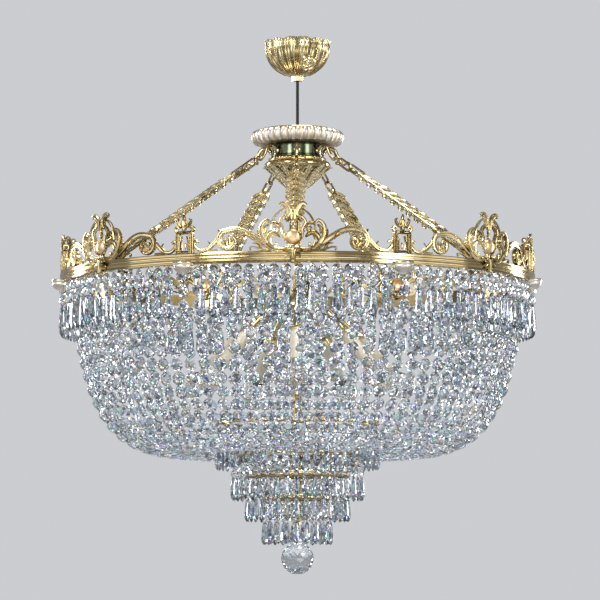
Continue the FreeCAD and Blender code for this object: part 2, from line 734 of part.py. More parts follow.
def bulb(azimuth):
    """Round clear bulb whose cap stands in the sleeve's mouth."""
    start, axis = lamp_frame(azimuth)
    r, length = BULB_R, BULB_LENGTH
    neck = 0.42 * r
    levels = [(neck, 0), (neck, 0.12 * length), (r, 0.55 * length), (0.85 * r, 0.85 * length),
              (0.35 * r, length)]
    return [stood(turned_solid(levels, LAMP_SIDES), start + axis * (SLEEVE_LENGTH + CLEAR / 2), axis)]


# Tiers, each one the radius and the depth of its ring's top

TIER_A = (TIER_A_R, TIER_A_DEPTH)
TIER_B = (TIER_B_R, TIER_A[1] + TIER_B_FALL)
TIER_C = (TIER_C_R, TIER_B[1] + TIER_C_FALL)
TIER_D = (TIER_D_R, TIER_C[1] + TIER_D_FALL)
TUBE_FOOT = -TIER_D[1] - TIER_BAND_HEIGHT - TUBE_BELOW


def tier_ring(tier):
    """Flat many-sided band, carried by a cross on the central tube."""
    radius, depth = tier
    top, foot = -depth, -depth - TIER_BAND_HEIGHT
    corner = radius / math.cos(math.pi / TIER_SIDES)
    rim = [(corner * math.cos(2 * math.pi * i / TIER_SIDES), corner * math.sin(2 * math.pi * i / TIER_SIDES))
           for i in range(TIER_SIDES)]
    share = (radius - TIER_BAND_WIDTH) / radius
    hole = [(x * share, y * share) for x, y in rim]
    middle = V(0, 0, (top + foot) / 2)
    band = plate(rim, middle, V(1, 0, 0), V(0, 1, 0), V(0, 0, 1), TIER_BAND_HEIGHT, [hole])
    reach = radius - TIER_BAND_WIDTH / 2
    spokes = [Part.makeBox(2 * reach, SPOKE_WIDTH, SPOKE_THICK, V(-reach, -SPOKE_WIDTH / 2, foot)),
              Part.makeBox(SPOKE_WIDTH, 2 * reach, SPOKE_THICK, V(-SPOKE_WIDTH / 2, -reach, foot))]
    collar = turned_solid([(COLLAR_R, foot), (COLLAR_R, top)], SMALL_SIDES)
    bore = turned_solid([(BORE_R, foot - 1), (BORE_R, top + 1)], SMALL_SIDES)
    return [fused(band, collar, *spokes).cut(bore)]


def drop(azimuth, radius, top, length, half, thick):
    """A drop with a flat back and a ridge in front, widest at its belly and pointed at both ends."""
    out, side = radial(azimuth), tangent(azimuth)
    belly = V(0, 0, top - DROP_BELLY * length)
    centre = out * radius
    points = [centre + V(0, 0, top), centre + side * half + belly, centre + out * thick + belly,
              centre - side * half + belly, centre + V(0, 0, top - length)]
    faces = [(0, 1, 2), (0, 2, 3), (0, 3, 1), (4, 2, 1), (4, 3, 2), (4, 1, 3)]
    return polyhedron(points, faces)


def tier_drops(tier):
    radius, depth = tier
    count = SECTORS * round(2 * math.pi * radius / SECTORS / TIER_PITCH)
    top = -depth - TIER_BAND_HEIGHT - SEAT
    middle = radius - TIER_BAND_WIDTH / 2
    places = [i * 360.0 / count for i in range(count)]
    return [drop(a, middle, top, TIER_DROP_LENGTH, TIER_DROP_HALF, DROP_THICK) for a in places]


def trim_drops():
    """Curtain of drops that hangs from the ring's foot, outside the net."""
    step = 360.0 / (SECTORS * TRIM_DROPS)
    cup_clear = CUP_R + TRIM_HALF * 0.2
    out = []
    for i in range(SECTORS * TRIM_DROPS):
        azimuth = (i + 0.5) * step
        nearest = min(abs((azimuth - p + 180) % 360 - 180) for p in sector_azimuths(True))
        if math.radians(nearest) * RING_R > cup_clear:
            out.append(drop(azimuth, RING_R - 2.5, RING_FOOT - SEAT, TRIM_LENGTH, TRIM_HALF, DROP_THICK))
    return out


# Crystal net

# Stations of a strand as shares of its first radius and of its fall to the lowest line
NET_SHAPE = [(1.0, 0.0), (0.932, 0.549), (0.825, 0.847), (0.55, 1.0)]


def net_profile():
    """Stations of a strand as (radius, depth): nearly straight, then in a belly to the first tier."""
    top = (RING_R - RING_WIDTH) * math.cos(math.pi / RING_SIDES) - STRAND_THICK - CLEAR
    end = TIER_A[0] / math.cos(math.pi / TIER_SIDES) + CLEAR
    start = RING_TOP_DEPTH + 0.5 * RING_HEIGHT
    fall = TIER_A[1] + BELLY_FALL - start
    stations = [(share_r * top, start + share_z * fall) for share_r, share_z in NET_SHAPE]
    return stations + [(end, TIER_A[1] + TIER_BAND_HEIGHT / 2)]


def strand_section(azimuth, number):
    """Corners of the strand at one station: its flat back towards the inside, and its ridge outside."""
    out, side = radial(azimuth), tangent(azimuth)
    stations = net_profile()
    (r, depth), last = stations[number], len(stations) - 1
    before, after = stations[max(number - 1, 0)], stations[min(number + 1, last)]
    dr, dz = after[0] - before[0], before[1] - after[1]
    size = math.hypot(dr, dz)
    normal = out * (-dz / size) + V(0, 0, dr / size)
    if number == last:
        normal = V(0, 0, -1)  # the end stands upright, beside the tier's band
    pitch = 2 * math.pi * (r - STRAND_THICK) / (SECTORS * STRANDS)
    half = min(STRAND_HALF, STRAND_SHARE * pitch / 2)
    at = out * r + V(0, 0, -depth)
    return [at - side * half, at + side * half, at + normal * STRAND_THICK]


def span(azimuth, number):
    """One span of a strand, between two stations: it meets the next span face to face."""
    points = strand_section(azimuth, number) + strand_section(azimuth, number + 1)
    faces = [(0, 1, 2), (3, 5, 4)]
    for p, q in ((0, 1), (1, 2), (2, 0)):
        faces += [(q, p, 3 + p), (q, 3 + p, 3 + q)]
    return polyhedron(points, faces)


def net_part(middle, spans):
    """These spans of all strands of the sector round an azimuth."""
    step = 360.0 / SECTORS / STRANDS
    places = [middle + (i + 0.5 - STRANDS / 2) * step for i in range(STRANDS)]
    return [span(azimuth, number) for azimuth in places for number in spans]


# Bottom

def bottom_nut():
    """Turned nut that holds the tiers on the tube, with an eye for the ball."""
    top = TUBE_FOOT
    body = turned_solid([(NUT_R, top), (NUT_R, top - 4), (3, top - BOTTOM_NUT_HEIGHT)], SMALL_SIDES)
    w, hole, foot = BALL_EYE_HALF, BALL_EYE_HOLE, BOTTOM_EYE_BAR
    under = top - BOTTOM_NUT_HEIGHT
    outline = [(-w, under + 2), (w, under + 2), (w, foot - BALL_EYE_BAR), (-w, foot - BALL_EYE_BAR)]
    gap = [(-hole, under - 1), (hole, under - 1), (hole, foot), (-hole, foot)]
    eye = plate(outline, V(0, 0, 0), V(1, 0, 0), V(0, 0, 1), V(0, -1, 0), BALL_EYE_THICK, [gap])
    return [fused(body, eye)]


BALL_MIDDLE = TUBE_FOOT - BALL_DROP
BALL_EYE_TOP = BALL_MIDDLE + BALL_R + 6.0
BOTTOM_EYE_BAR = TUBE_FOOT - BOTTOM_NUT_HEIGHT - 4.2
BALL_LINK_TOP = BOTTOM_EYE_BAR + CLEAR + BALL_LINK_WIRE


def ball_hanger():
    """Flat link in the YZ plane between the nut's eye and the ball's eye."""
    wire = BALL_LINK_WIRE
    foot = BALL_EYE_TOP - BALL_EYE_THICK - CLEAR - wire
    length = BALL_LINK_TOP - foot
    middle = V(0, 0, (BALL_LINK_TOP + foot) / 2)
    outer = frame_outline(length / 2, BALL_LINK_HALF)
    inner = frame_outline(length / 2 - wire, BALL_LINK_HALF - wire)
    return [plate(outer, middle, V(0, 0, 1), V(0, 1, 0), V(1, 0, 0), wire, [inner])]


def crystal_ball():
    """Faceted ball with a small eye on top."""
    shares = [(0.32, 0.95), (0.8, 0.6), (1.0, 0.12), (1.0, -0.12), (0.8, -0.6), (0.32, -0.95)]
    ball = turned_solid([(BALL_R * r, BALL_MIDDLE + BALL_R * z) for r, z in shares], BALL_SIDES)
    foot = BALL_MIDDLE + 0.9 * BALL_R
    top, w, hole = BALL_EYE_TOP, BALL_EYE_HALF, BALL_EYE_HOLE
    outline = [(-w, foot), (w, foot), (w, top), (-w, top)]
    bar, sill = top - BALL_EYE_THICK, top - 5.0
    gap = [(-hole, sill), (hole, sill), (hole, bar), (-hole, bar)]
    eye = plate(outline, V(0, 0, 0), V(1, 0, 0), V(0, 0, 1), V(0, -1, 0), BALL_EYE_THICK, [gap])
    return [fused(ball, eye)]


NODES = {
    "ceiling_bracket": ceiling_bracket, "ceiling_eye": ceiling_eye, "hanger_link": hanger_link,
    "canopy_cup": canopy_cup, "canopy_nut": canopy_nut, "canopy_screw": canopy_screw,
    "cable_eye": cable_eye, "suspension_cable": suspension_cable,
    "hub_top_plate": hub_top_plate, "hub_gadroon_ring": hub_gadroon_ring, "hub_drum": hub_drum,
    "hub_moulding": hub_moulding, "hub_leaf_cone": hub_leaf_cone, "hub_knob": hub_knob,
    "central_tube": central_tube,
    "arm_hooks": arm_hooks, "arm_links": arm_links, "arm_leaf_straps": arm_leaf_straps,
    "main_ring": main_ring, "crown_ornaments": crown_ornaments, "crown_scrolls": crown_scrolls,
    "crown_pilasters": crown_pilasters, "pilaster_cups": pilaster_cups,
    "lamp_body": lamp_body, "lamp_arms": lamp_arms, "lamp_holders": lamp_holders,
    "candle_sleeves": candle_sleeves,
    "tier_ring_a": lambda: tier_ring(TIER_A), "tier_ring_b": lambda: tier_ring(TIER_B),
    "tier_ring_c": lambda: tier_ring(TIER_C), "tier_ring_d": lambda: tier_ring(TIER_D),
    "trim_drops": trim_drops,
    "tier_drops_a": lambda: tier_drops(TIER_A), "tier_drops_b": lambda: tier_drops(TIER_B),
    "tier_drops_c": lambda: tier_drops(TIER_C), "tier_drops_d": lambda: tier_drops(TIER_D),
    "bottom_nut": bottom_nut, "ball_hanger": ball_hanger, "crystal_ball": crystal_ball,
}
for number, place in enumerate(sector_azimuths(), start=1):
    NODES[f"net_upper_{number}"] = lambda p=place: net_part(p, [0])
    NODES[f"net_lower_{number}"] = lambda p=place: net_part(p, [1, 2, 3])
    NODES[f"bulb_{number}"] = lambda p=place: bulb(p)

for name, make in NODES.items():
    solids = make()
    shape = solids[0] if len(solids) == 1 else Part.makeCompound(solids)
    shape.exportStep(f"parts/{name}.step")
print(len(NODES), "nodes")
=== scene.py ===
"""Looks of the basket chandelier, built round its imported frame. Millimetres in here, metres in the meshes."""

import bpy
import random
from functools import partial
from itertools import product
from math import cos, degrees, pi, radians, sin
import numpy as np
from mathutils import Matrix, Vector


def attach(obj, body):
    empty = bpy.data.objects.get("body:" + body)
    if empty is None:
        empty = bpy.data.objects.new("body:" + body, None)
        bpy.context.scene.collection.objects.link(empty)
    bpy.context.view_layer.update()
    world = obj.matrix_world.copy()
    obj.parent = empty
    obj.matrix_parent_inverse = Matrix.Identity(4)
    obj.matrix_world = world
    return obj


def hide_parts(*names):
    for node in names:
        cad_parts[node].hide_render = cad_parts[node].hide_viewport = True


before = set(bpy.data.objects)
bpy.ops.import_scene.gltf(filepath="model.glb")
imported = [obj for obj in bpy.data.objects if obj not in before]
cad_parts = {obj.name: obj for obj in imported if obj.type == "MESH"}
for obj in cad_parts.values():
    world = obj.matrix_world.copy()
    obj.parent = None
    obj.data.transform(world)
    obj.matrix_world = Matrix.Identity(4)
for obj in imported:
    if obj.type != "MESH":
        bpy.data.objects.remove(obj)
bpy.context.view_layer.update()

MM = 0.001
SECTORS = 7
STEP = 360.0 / SECTORS
# How far the whole is turned in the photograph, in degrees
TURN = -1.0
RING_R, RING_TOP, RING_FOOT = 312.0, -316.0, -330.0
dice = random.Random(7)


# Materials

def new_material(name):
    material = bpy.data.materials.new(name)
    material.use_nodes = True
    tree = material.node_tree
    shader = next(n for n in tree.nodes if n.type == "BSDF_PRINCIPLED")
    return material, tree, shader


def node(tree, kind, inputs=None, **settings):
    made = tree.nodes.new(kind)
    for key, value in settings.items():
        setattr(made, key, value)
    for key, value in (inputs or {}).items():
        made.inputs[key].default_value = value
    return made


def texture(tree, inputs, kind="ShaderNodeTexNoise"):
    """A texture on the piece's own coordinates."""
    made = node(tree, kind, inputs)
    tree.links.new(node(tree, "ShaderNodeTexCoord").outputs["Object"], made.inputs["Vector"])
    return made


def ramp(tree, source, stops):
    made = tree.nodes.new("ShaderNodeValToRGB")
    while len(made.color_ramp.elements) < len(stops):
        made.color_ramp.elements.new(0.5)
    for element, (place, colour) in zip(made.color_ramp.elements, stops):
        element.position = place
        element.color = (*colour, 1)
    tree.links.new(source, made.inputs["Fac"])
    return made


def rough_from(tree, shader, noise, low, high):
    made = node(tree, "ShaderNodeMapRange", {"From Min": 0.3, "From Max": 0.7, "To Min": low, "To Max": high})
    tree.links.new(noise.outputs["Fac"], made.inputs["Value"])
    tree.links.new(made.outputs["Result"], shader.inputs["Roughness"])


def bump_from(tree, shader, source, strength, distance):
    made = node(tree, "ShaderNodeBump", {"Strength": strength, "Distance": distance})
    tree.links.new(source, made.inputs["Height"])
    tree.links.new(made.outputs["Normal"], shader.inputs["Normal"])


def gold_material(name, bright, deep, low, high, scale, strength):
    """Polished gold plate: bright metal, a deeper tone in patches, painted shade darkening the hollows, and
    fine unevenness.
    """
    material, tree, shader = new_material(name)
    broad = texture(tree, {"Scale": 35.0, "Detail": 3.0})
    fine = texture(tree, {"Scale": scale, "Detail": 4.0, "Roughness": 0.6})
    tone = ramp(tree, broad.outputs["Fac"], [(0.3, deep), (0.52, bright)])
    # painted shade: the base colour is darkened where the surface is hollow (low pointiness), standing in for
    # shade in creases
    hollow = node(tree, "ShaderNodeNewGeometry").outputs["Pointiness"]
    painted_hollow_shade = ramp(tree, hollow, [(0.43, (0.26, 0.22, 0.13)), (0.5, (1.0, 1.0, 1.0))])
    mix = node(tree, "ShaderNodeMix", data_type="RGBA", blend_type="MULTIPLY")
    # socket 0 is the mix's share, 6 and 7 its colours and output 2 the mixed colour
    mix.inputs[0].default_value = 0.8
    tree.links.new(tone.outputs["Color"], mix.inputs[6])
    tree.links.new(painted_hollow_shade.outputs["Color"], mix.inputs[7])
    tree.links.new(mix.outputs[2], shader.inputs["Base Color"])
    shader.inputs["Metallic"].default_value = 1.0
    rough_from(tree, shader, fine, low, high)
    bump_from(tree, shader, fine.outputs["Fac"], strength, 0.0008)
    return material


def steel_material():
    material, tree, shader = new_material("zinc_plated_steel")
    grain = texture(tree, {"Scale": 400.0, "Detail": 3.0})
    tone = ramp(tree, grain.outputs["Fac"], [(0.3, (0.42, 0.43, 0.45)), (0.7, (0.66, 0.67, 0.7))])
    tree.links.new(tone.outputs["Color"], shader.inputs["Base Color"])
    shader.inputs["Metallic"].default_value = 1.0
    rough_from(tree, shader, grain, 0.28, 0.45)
    return material


def crystal_material(name, tints_and_painted_glints, rough):
    """Cut lead crystal: clear, with colour that changes from one small facet to the next, from a faint tint to
    painted dark reflections and painted coloured fire.
    """
    material, tree, shader = new_material(name)
    # the cells pick colours at random: for the cut crystal some are painted dark reflections and painted
    # coloured glints
    cells = texture(tree, {"Scale": 260.0}, "ShaderNodeTexVoronoi")
    split = node(tree, "ShaderNodeSeparateColor")
    tree.links.new(cells.outputs["Color"], split.inputs["Color"])
    tone = ramp(tree, split.outputs["Red"], tints_and_painted_glints)
    tone.color_ramp.interpolation = "CONSTANT"
    tree.links.new(tone.outputs["Color"], shader.inputs["Base Color"])
    shader.inputs["Transmission Weight"].default_value = 1.0
    shader.inputs["IOR"].default_value = 1.62
    shader.inputs["Roughness"].default_value = rough
    return material


def plain_material(name, low, high, scale, rough, bump, sheen=0.5):
    """Smooth painted or moulded surface with slight changes of tone."""
    material, tree, shader = new_material(name)
    noise = texture(tree, {"Scale": scale, "Detail": 3.0})
    tone = ramp(tree, noise.outputs["Fac"], [(0.35, low), (0.65, high)])
    tree.links.new(tone.outputs["Color"], shader.inputs["Base Color"])
    rough_from(tree, shader, noise, rough, rough + 0.12)
    shader.inputs["Specular IOR Level"].default_value = sheen
    bump_from(tree, shader, noise.outputs["Fac"], bump, 0.0005)
    return material


GOLD = gold_material("polished_gold", (0.88, 0.73, 0.43), (0.64, 0.52, 0.28), 0.08, 0.18, 90.0, 0.04)
CAST = gold_material("cast_gold", (0.88, 0.74, 0.45), (0.44, 0.37, 0.19), 0.16, 0.3, 240.0, 0.09)
# amber gold: the bosses' own tone, also used for the painted glints in the pilaster windows
COPPER = gold_material("amber_gold", (0.84, 0.61, 0.34), (0.70, 0.46, 0.24), 0.3, 0.4, 120.0, 0.02)
# painted highlight: a lighter copy of gold for the gadroons and dishes, standing in for the lamp light they
# catch
PAINTED_LIT_GOLD = gold_material("gold_painted_lit", (1.0, 0.93, 0.84), (0.96, 0.84, 0.70), 0.34, 0.44, 90.0, 0.02)
# painted reflection: the drum's gold is given a near-black colour that stands in for the dark room it mirrors
SHADE = gold_material("gold_painted_dark_reflection", (0.10, 0.115, 0.075), (0.055, 0.065, 0.045), 0.12, 0.2, 90.0, 0.0)
STEEL = steel_material()
# painted light: the grey and near-black stops are painted dark reflections, and the green, violet, orange, teal
# and blue ones painted glints of coloured fire; the rest are clear glass
CRYSTAL_PAINTED_GLINTS_AND_DARKS = [(0.0, (0.95, 0.97, 1.0)), (0.28, (0.38, 0.44, 0.52)), (0.38, (1.0, 1.0, 1.0)),
               (0.56, (0.74, 0.84, 0.99)), (0.7, (0.10, 0.12, 0.16)), (0.79, (0.90, 0.95, 1.0)),
               (0.87, (0.35, 0.85, 0.62)), (0.905, (0.60, 0.48, 0.94)), (0.94, (0.97, 0.62, 0.32)),
               (0.965, (0.30, 0.74, 0.88)), (0.985, (0.26, 0.36, 0.92))]
CRYSTAL = crystal_material("cut_crystal", CRYSTAL_PAINTED_GLINTS_AND_DARKS, 0.02)
BALL = crystal_material("ball_crystal", [(0.0, (0.96, 0.98, 1.0)), (0.6, (0.86, 0.92, 1.0)),
                                         (0.92, (0.62, 0.9, 0.95))], 0.0)
LAMP_GLASS = crystal_material("lamp_glass", [(0.0, (1.0, 0.99, 0.96)), (0.5, (0.98, 0.98, 0.97))], 0.0)
CANDLE = plain_material("candle_sleeve", (0.80, 0.72, 0.52), (0.90, 0.84, 0.68), 60.0, 0.32, 0.05)
CABLE = plain_material("black_cable", (0.012, 0.012, 0.013), (0.03, 0.03, 0.032), 300.0, 0.5, 0.1, 0.2)


# Building blocks

def new_object(name, data):
    made = bpy.data.objects.new(name, data)
    bpy.context.scene.collection.objects.link(made)
    return made


class Build:
    """Points and faces gathered into one piece."""

    def __init__(self):
        self.points, self.faces, self.count = [], [], 0

    def add(self, points, faces):
        points = np.asarray(points, float)
        base = self.count
        self.faces.extend(tuple(base + i for i in face) for face in faces)
        self.points.append(points)
        self.count += len(points)

    def piece(self, name, material, slot, nodes=(), body="chandelier", crease=40.0):
        """The piece as an object. Edges over crease degrees stay sharp, and 0 leaves all faces flat."""
        mesh = bpy.data.meshes.new(name)
        mesh.from_pydata((np.concatenate(self.points) * MM).tolist(), [], self.faces)
        mesh.update()
        if crease:
            mesh.polygons.foreach_set("use_smooth", [True] * len(mesh.polygons))
            mesh.set_sharp_from_angle(angle=radians(crease))
        mesh.materials.append(material)
        made = new_object(name, mesh)
        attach(made, body)
        if nodes:
            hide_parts(*nodes)


def unit(v):
    v = np.asarray(v, float)
    return v / np.linalg.norm(v)


def radial(azimuth):
    a = radians(azimuth + TURN)
    return np.array([sin(a), -cos(a), 0.0])


def tangent(azimuth):
    a = radians(azimuth + TURN)
    return np.array([cos(a), sin(a), 0.0])


UP = np.array([0.0, 0.0, 1.0])
ORNAMENTS = [i * STEP for i in range(SECTORS)]
PILASTERS = [(i + 0.5) * STEP for i in range(SECTORS)]


def angles(count, shift=0.0):
    """Evenly spaced angles of a full turn."""
    return [2 * pi * (i + shift) / count for i in range(count)]


def grid_faces(rows, columns, closed=False, capped=False):
    """Faces round a grid of points. Closed joins the last row to the first, and capped fills both ends."""
    faces = []
    for i in range(rows if closed else rows - 1):
        a, b = i * columns, (i + 1) % rows * columns
        faces += [(a + j, a + (j + 1) % columns, b + (j + 1) % columns, b + j) for j in range(columns)]
    if capped:
        faces += [tuple(range(columns))[::-1], tuple(range((rows - 1) * columns, rows * columns))]
    return faces


def lathe(build, profile, sides=48, shape=None, origin=(0, 0, 0), axis=UP, closed=False):
    """A profile of (radius, height) turned round an axis. Shape changes the radius by angle and row."""
    axis = unit(axis)
    upright = abs(axis[2]) > 0.999
    first = np.array([1.0, 0.0, 0.0]) if upright else unit(np.cross(axis, (0.3, 0.9, 0.1)))
    second = np.cross(axis, first)
    rows = []
    for k, (r, z) in enumerate(profile):
        for a in angles(sides):
            rr = r * (shape(a, k) if shape else 1.0)
            rows.append(origin + axis * z + first * (rr * cos(a)) + second * (rr * sin(a)))
    build.add(rows, grid_faces(len(profile), sides, closed))


def turned(name, material, nodes, profile, sides):
    """A gold piece of the chandelier that is one closed turning."""
    build = Build()
    lathe(build, profile, sides, closed=True)
    build.piece(name, material, "gold", nodes)


def distances(line):
    """How far along a line each of its points is."""
    return np.concatenate([[0], np.cumsum(np.linalg.norm(np.diff(line, axis=0), axis=1))])


def smooth_path(points, count):
    """A curve through the given points, evenly sampled."""
    per_span = 16
    p = [np.asarray(q, float) for q in points]
    p = [2 * p[0] - p[1]] + p + [2 * p[-1] - p[-2]]
    out = []
    for i in range(1, len(p) - 2):
        for t in np.linspace(0, 1, per_span, endpoint=False):
            a = 2 * p[i]
            b = p[i + 1] - p[i - 1]
            c = 2 * p[i - 1] - 5 * p[i] + 4 * p[i + 1] - p[i + 2]
            d = 3 * p[i] - p[i - 1] - 3 * p[i + 1] + p[i + 2]
            out.append(0.5 * (a + b * t + c * t * t + d * t ** 3))
    out.append(p[-2])
    out = np.array(out)
    run = distances(out)
    want = np.linspace(0, run[-1], count)
    return np.stack([np.interp(want, run, out[:, k]) for k in range(out.shape[1])], axis=1)


def spiral(centre, start_r, end_r, start, sweep, count):
    """Points of a volute in a plane, angles in degrees."""
    out = []
    for i in range(count + 1):
        t = i / count
        r = start_r * (end_r / start_r) ** t
        a = radians(start + sweep * t)
        out.append((centre[0] + r * cos(a), centre[1] + r * sin(a)))
    return out


# Sections of cast bands as (across, up), in halves of width and depth
BAR = [(-1, 0), (-0.72, 0.75), (0, 1), (0.72, 0.75), (1, 0), (0.72, -0.75), (0, -1), (-0.72, -0.75)]
REEDED = [(-1, 0.1), (-0.85, 0.9), (-0.5, 0.95), (-0.28, 0.45), (0.28, 0.45), (0.5, 0.95), (0.85, 0.9),
          (1, 0.1), (0.8, -0.8), (-0.8, -0.8)]
FOLDED = [(-1, 1.5), (-0.6, 0.95), (-0.2, 0.3), (0, 0), (0.2, 0.3), (0.6, 0.95), (1, 1.5), (0.96, 1.2),
          (0.6, 0.5), (0, -0.5), (-0.6, 0.5), (-0.96, 1.2)]
LEAF = [(-1, 0.1), (-0.75, 0.75), (-0.42, 1.0), (-0.14, 0.55), (0, 0.2), (0.14, 0.55), (0.42, 1.0),
        (0.75, 0.75), (1, 0.1), (0.4, -0.4), (-0.4, -0.4)]


def value_at(value, t):
    """A number, or what a function gives at a share of the length."""
    return value(t) if callable(value) else value


def narrowing(start, loss):
    """Width that falls evenly along a band."""
    return lambda t: start - loss * t


def pointed(root, least, power=0.5):
    """Width that runs out to a leaf's tip."""
    return lambda t: root * (1 - t) ** power + least


def swelling(width, least, first, span, power=1.0):
    """Width that is fullest between a leaf's ends: part of a sine wave, from its first share on."""
    return lambda t: width * sin(pi * (first + span * t)) ** power + least


def stroke(build, place, path, width, depth, section=BAR, count=24, lobes=0, cut=0.0, lift=0.0):
    """A cast band along a path. Width, depth and lift out of the plane are numbers or functions of the share
    of its length. Lobes cut its edges into leaf tips."""
    line = smooth_path(path, count)
    along = np.gradient(line, axis=0)
    along /= np.linalg.norm(along, axis=1)[:, None]
    rows = []
    for i in range(count):
        t = i / (count - 1)
        w, d, up = value_at(width, t) / 2, value_at(depth, t) / 2, value_at(lift, t)
        if lobes:
            w *= 1 - cut * (1 - (t * lobes % 1.0) ** 0.7)
        normal = (-along[i][1], along[i][0])
        for s, h in section:
            rows.append(place(line[i][0] + normal[0] * s * w, line[i][1] + normal[1] * s * w, h * d + up))
    build.add(rows, grid_faces(count, len(section), capped=True))


def swept(build, path, radius, count=24, sides=8, flat=1.0):
    """A round or flattened bar along a path in space. Radius is a number or a function, as in stroke."""
    line = smooth_path(path, count)
    along = np.gradient(line, axis=0)
    rows = []
    for i in range(count):
        d = unit(along[i])
        side = unit(np.cross(d, UP if abs(np.dot(d, UP)) < 0.98 else (0.1, 1, 0)))
        over = np.cross(side, d)
        r = value_at(radius, i / (count - 1))
        for a in angles(sides):
            rows.append(line[i] + side * (r * cos(a)) + over * (r * flat * sin(a)))
    build.add(rows, grid_faces(count, sides, capped=True))


def on_ring(azimuth, radius, base, side=1.0):
    """Places (along, up, out) on a cylinder round the axis, so that castings follow the ring's curve."""
    def place(u, v, w):
        return radial(azimuth + degrees(side * u / radius)) * (radius + w) + UP * (base + v)
    return place


def on_flat(azimuth, radius, level):
    """Places (along, up, out) on a flat face across a radius."""
    out, side = radial(azimuth), tangent(azimuth)
    return lambda u, v, w: out * (radius + w) + side * u + UP * (level + v)


def bead(build, place, radius, centre=(0, 0, 0), sides=10, rows=6):
    """A rounded boss or berry at a place."""
    points = []
    for i in range(rows + 1):
        b = pi * i / rows
        for a in angles(sides):
            points.append(place(centre[0] + radius[0] * sin(b) * cos(a),
                                centre[1] + radius[1] * sin(b) * sin(a),
                                centre[2] + radius[2] * cos(b)))
    build.add(points, grid_faces(rows + 1, sides))


# Cut crystal

def octagon_bead():
    """Strung octagon: a sharp girdle, two rows of facets and a small table on both sides. Half its width and
    half its depth are 1."""
    def corners(radius, height, turn):
        places = [radians(45 * i + turn) for i in range(8)]
        return [(radius * cos(a), radius * sin(a), height) for a in places]

    points, faces = corners(1.06, 0, 22.5), []
    for sign in (1, -1):
        inner = len(points)
        table = inner + 8
        points += corners(0.74, sign * 0.66, 0.0) + corners(0.38, sign * 1.0, 22.5)
        half = []
        for i in range(8):
            j = (i + 1) % 8
            half += [(i, inner + j, inner + i), (i, j, inner + j)]
            half += [(inner + i, inner + j, table + i), (inner + j, table + j, table + i)]
        half.append(tuple(range(table, table + 8)))
        faces += half if sign > 0 else [face[::-1] for face in half]
    return np.array(points), faces


def almond_drop(rows, sides=10):
    """Hanging drop with long upright facets: rows of (share of its length, half width, half depth)."""
    points = [(w * cos(a), -t, d * sin(a)) for t, w, d in rows for a in angles(sides, 0.5)]
    return np.array(points), grid_faces(len(rows), sides, capped=True)


OCTAGON = octagon_bead()
DROP = almond_drop([(0.0, 0.2, 0.2), (0.08, 0.58, 0.5), (0.4, 0.8, 0.8), (0.74, 1.0, 1.0), (0.9, 0.8, 0.66),
                    (1.0, 0.12, 0.1)])


def set_crystal(build, template, centre, across, down, out, scale):
    """A crystal at a point with its own directions and sizes."""
    points, faces = template
    build.add(np.asarray(centre) + points[:, :1] * scale[0] * across + points[:, 1:2] * scale[1] * down
              + points[:, 2:] * scale[2] * out, faces)


def pin(build, a, b, side, thick=0.55):
    """Bent gold pin between two crystals."""
    a, b = np.asarray(a), np.asarray(b)
    d = unit(b - a)
    over = np.cross(d, side)
    middle = (a + b) / 2
    build.add([a, middle + side * thick * 1.6, middle + over * thick, middle - side * thick * 1.6,
               middle - over * thick, b],
              [(0, 1, 2), (0, 2, 3), (0, 3, 4), (0, 4, 1), (5, 2, 1), (5, 3, 2), (5, 4, 3), (5, 1, 4)])


# The net's outline from the ring to the first tier, as (radius, height)
NET = [(297.6, -333.0), (291.0, -388.0), (277.5, -446.0), (267.0, -478.0), (251.0, -507.0), (229.0, -530.0),
       (202.0, -544.5), (170.0, -551.0), (140.0, -547.0), (120.0, -531.0), (109.0, -511.0)]
NET_SPLIT, NET_START, NET_SPARE = -446.0, 9.0, 3
STRANDS = 84
PER_SECTOR = STRANDS // SECTORS
OCTAGON_HALF, OCTAGON_GAP, CROWDED = 8.0, 2.4, 0.46


def octagon_size(radius):
    """Half the width of a strung octagon: less where the strands crowd together."""
    return min(OCTAGON_HALF, CROWDED * 2 * pi * radius / STRANDS)


def twisted(side, face, spread):
    """A crystal's direction across, turned at random by up to so many degrees."""
    twist = radians(dice.uniform(-spread, spread))
    return side * cos(twist) + face * sin(twist)


def net():
    """The basket's strands of octagons, and their pins."""
    line = smooth_path(NET, 400)
    run = distances(line)

    def point(s):
        return np.interp(s, run, line[:, 0]), np.interp(s, run, line[:, 1])

    places, s = [], NET_START
    while s < run[-1] - NET_SPARE:
        r = point(s)[0]
        size = octagon_size(r)
        places.append((s, size))
        # the next one's size is taken about 12 mm further in
        s += size + OCTAGON_GAP + octagon_size(max(r - 12, 100))
    for sector in range(SECTORS):
        parts = {"upper": Build(), "lower": Build()}
        pins = {"upper": Build(), "lower": Build()}
        for strand in range(PER_SECTOR):
            azimuth = (sector + (strand + 0.5 - PER_SECTOR / 2) / PER_SECTOR) * STEP
            out, side = radial(azimuth), tangent(azimuth)
            sway = dice.uniform(-0.4, 0.4)
            previous = out * line[0][0] + UP * line[0][1]
            for s, size in places:
                (r, z), (r2, z2) = point(s), point(s + 2)
                down = unit(out * (r2 - r) + UP * (z2 - z))
                across = twisted(side, unit(np.cross(side, down)), 13)
                face = unit(np.cross(across, down))
                centre = out * r + UP * z + side * sway
                name = "upper" if z > NET_SPLIT else "lower"
                set_crystal(parts[name], OCTAGON, centre, across, down, face, (size, size, 0.46 * size))
                hole = down * (size - 0.6)
                pin(pins[name], previous, centre - hole, side)
                previous = centre + hole
        for name in ("upper", "lower"):
            parts[name].piece(f"net_{name}_crystals_{sector + 1}", CRYSTAL, "crystal",
                              [f"net_{name}_{sector + 1}"], crease=0)
            pins[name].piece(f"net_{name}_pins_{sector + 1}", GOLD, "gold", crease=0)


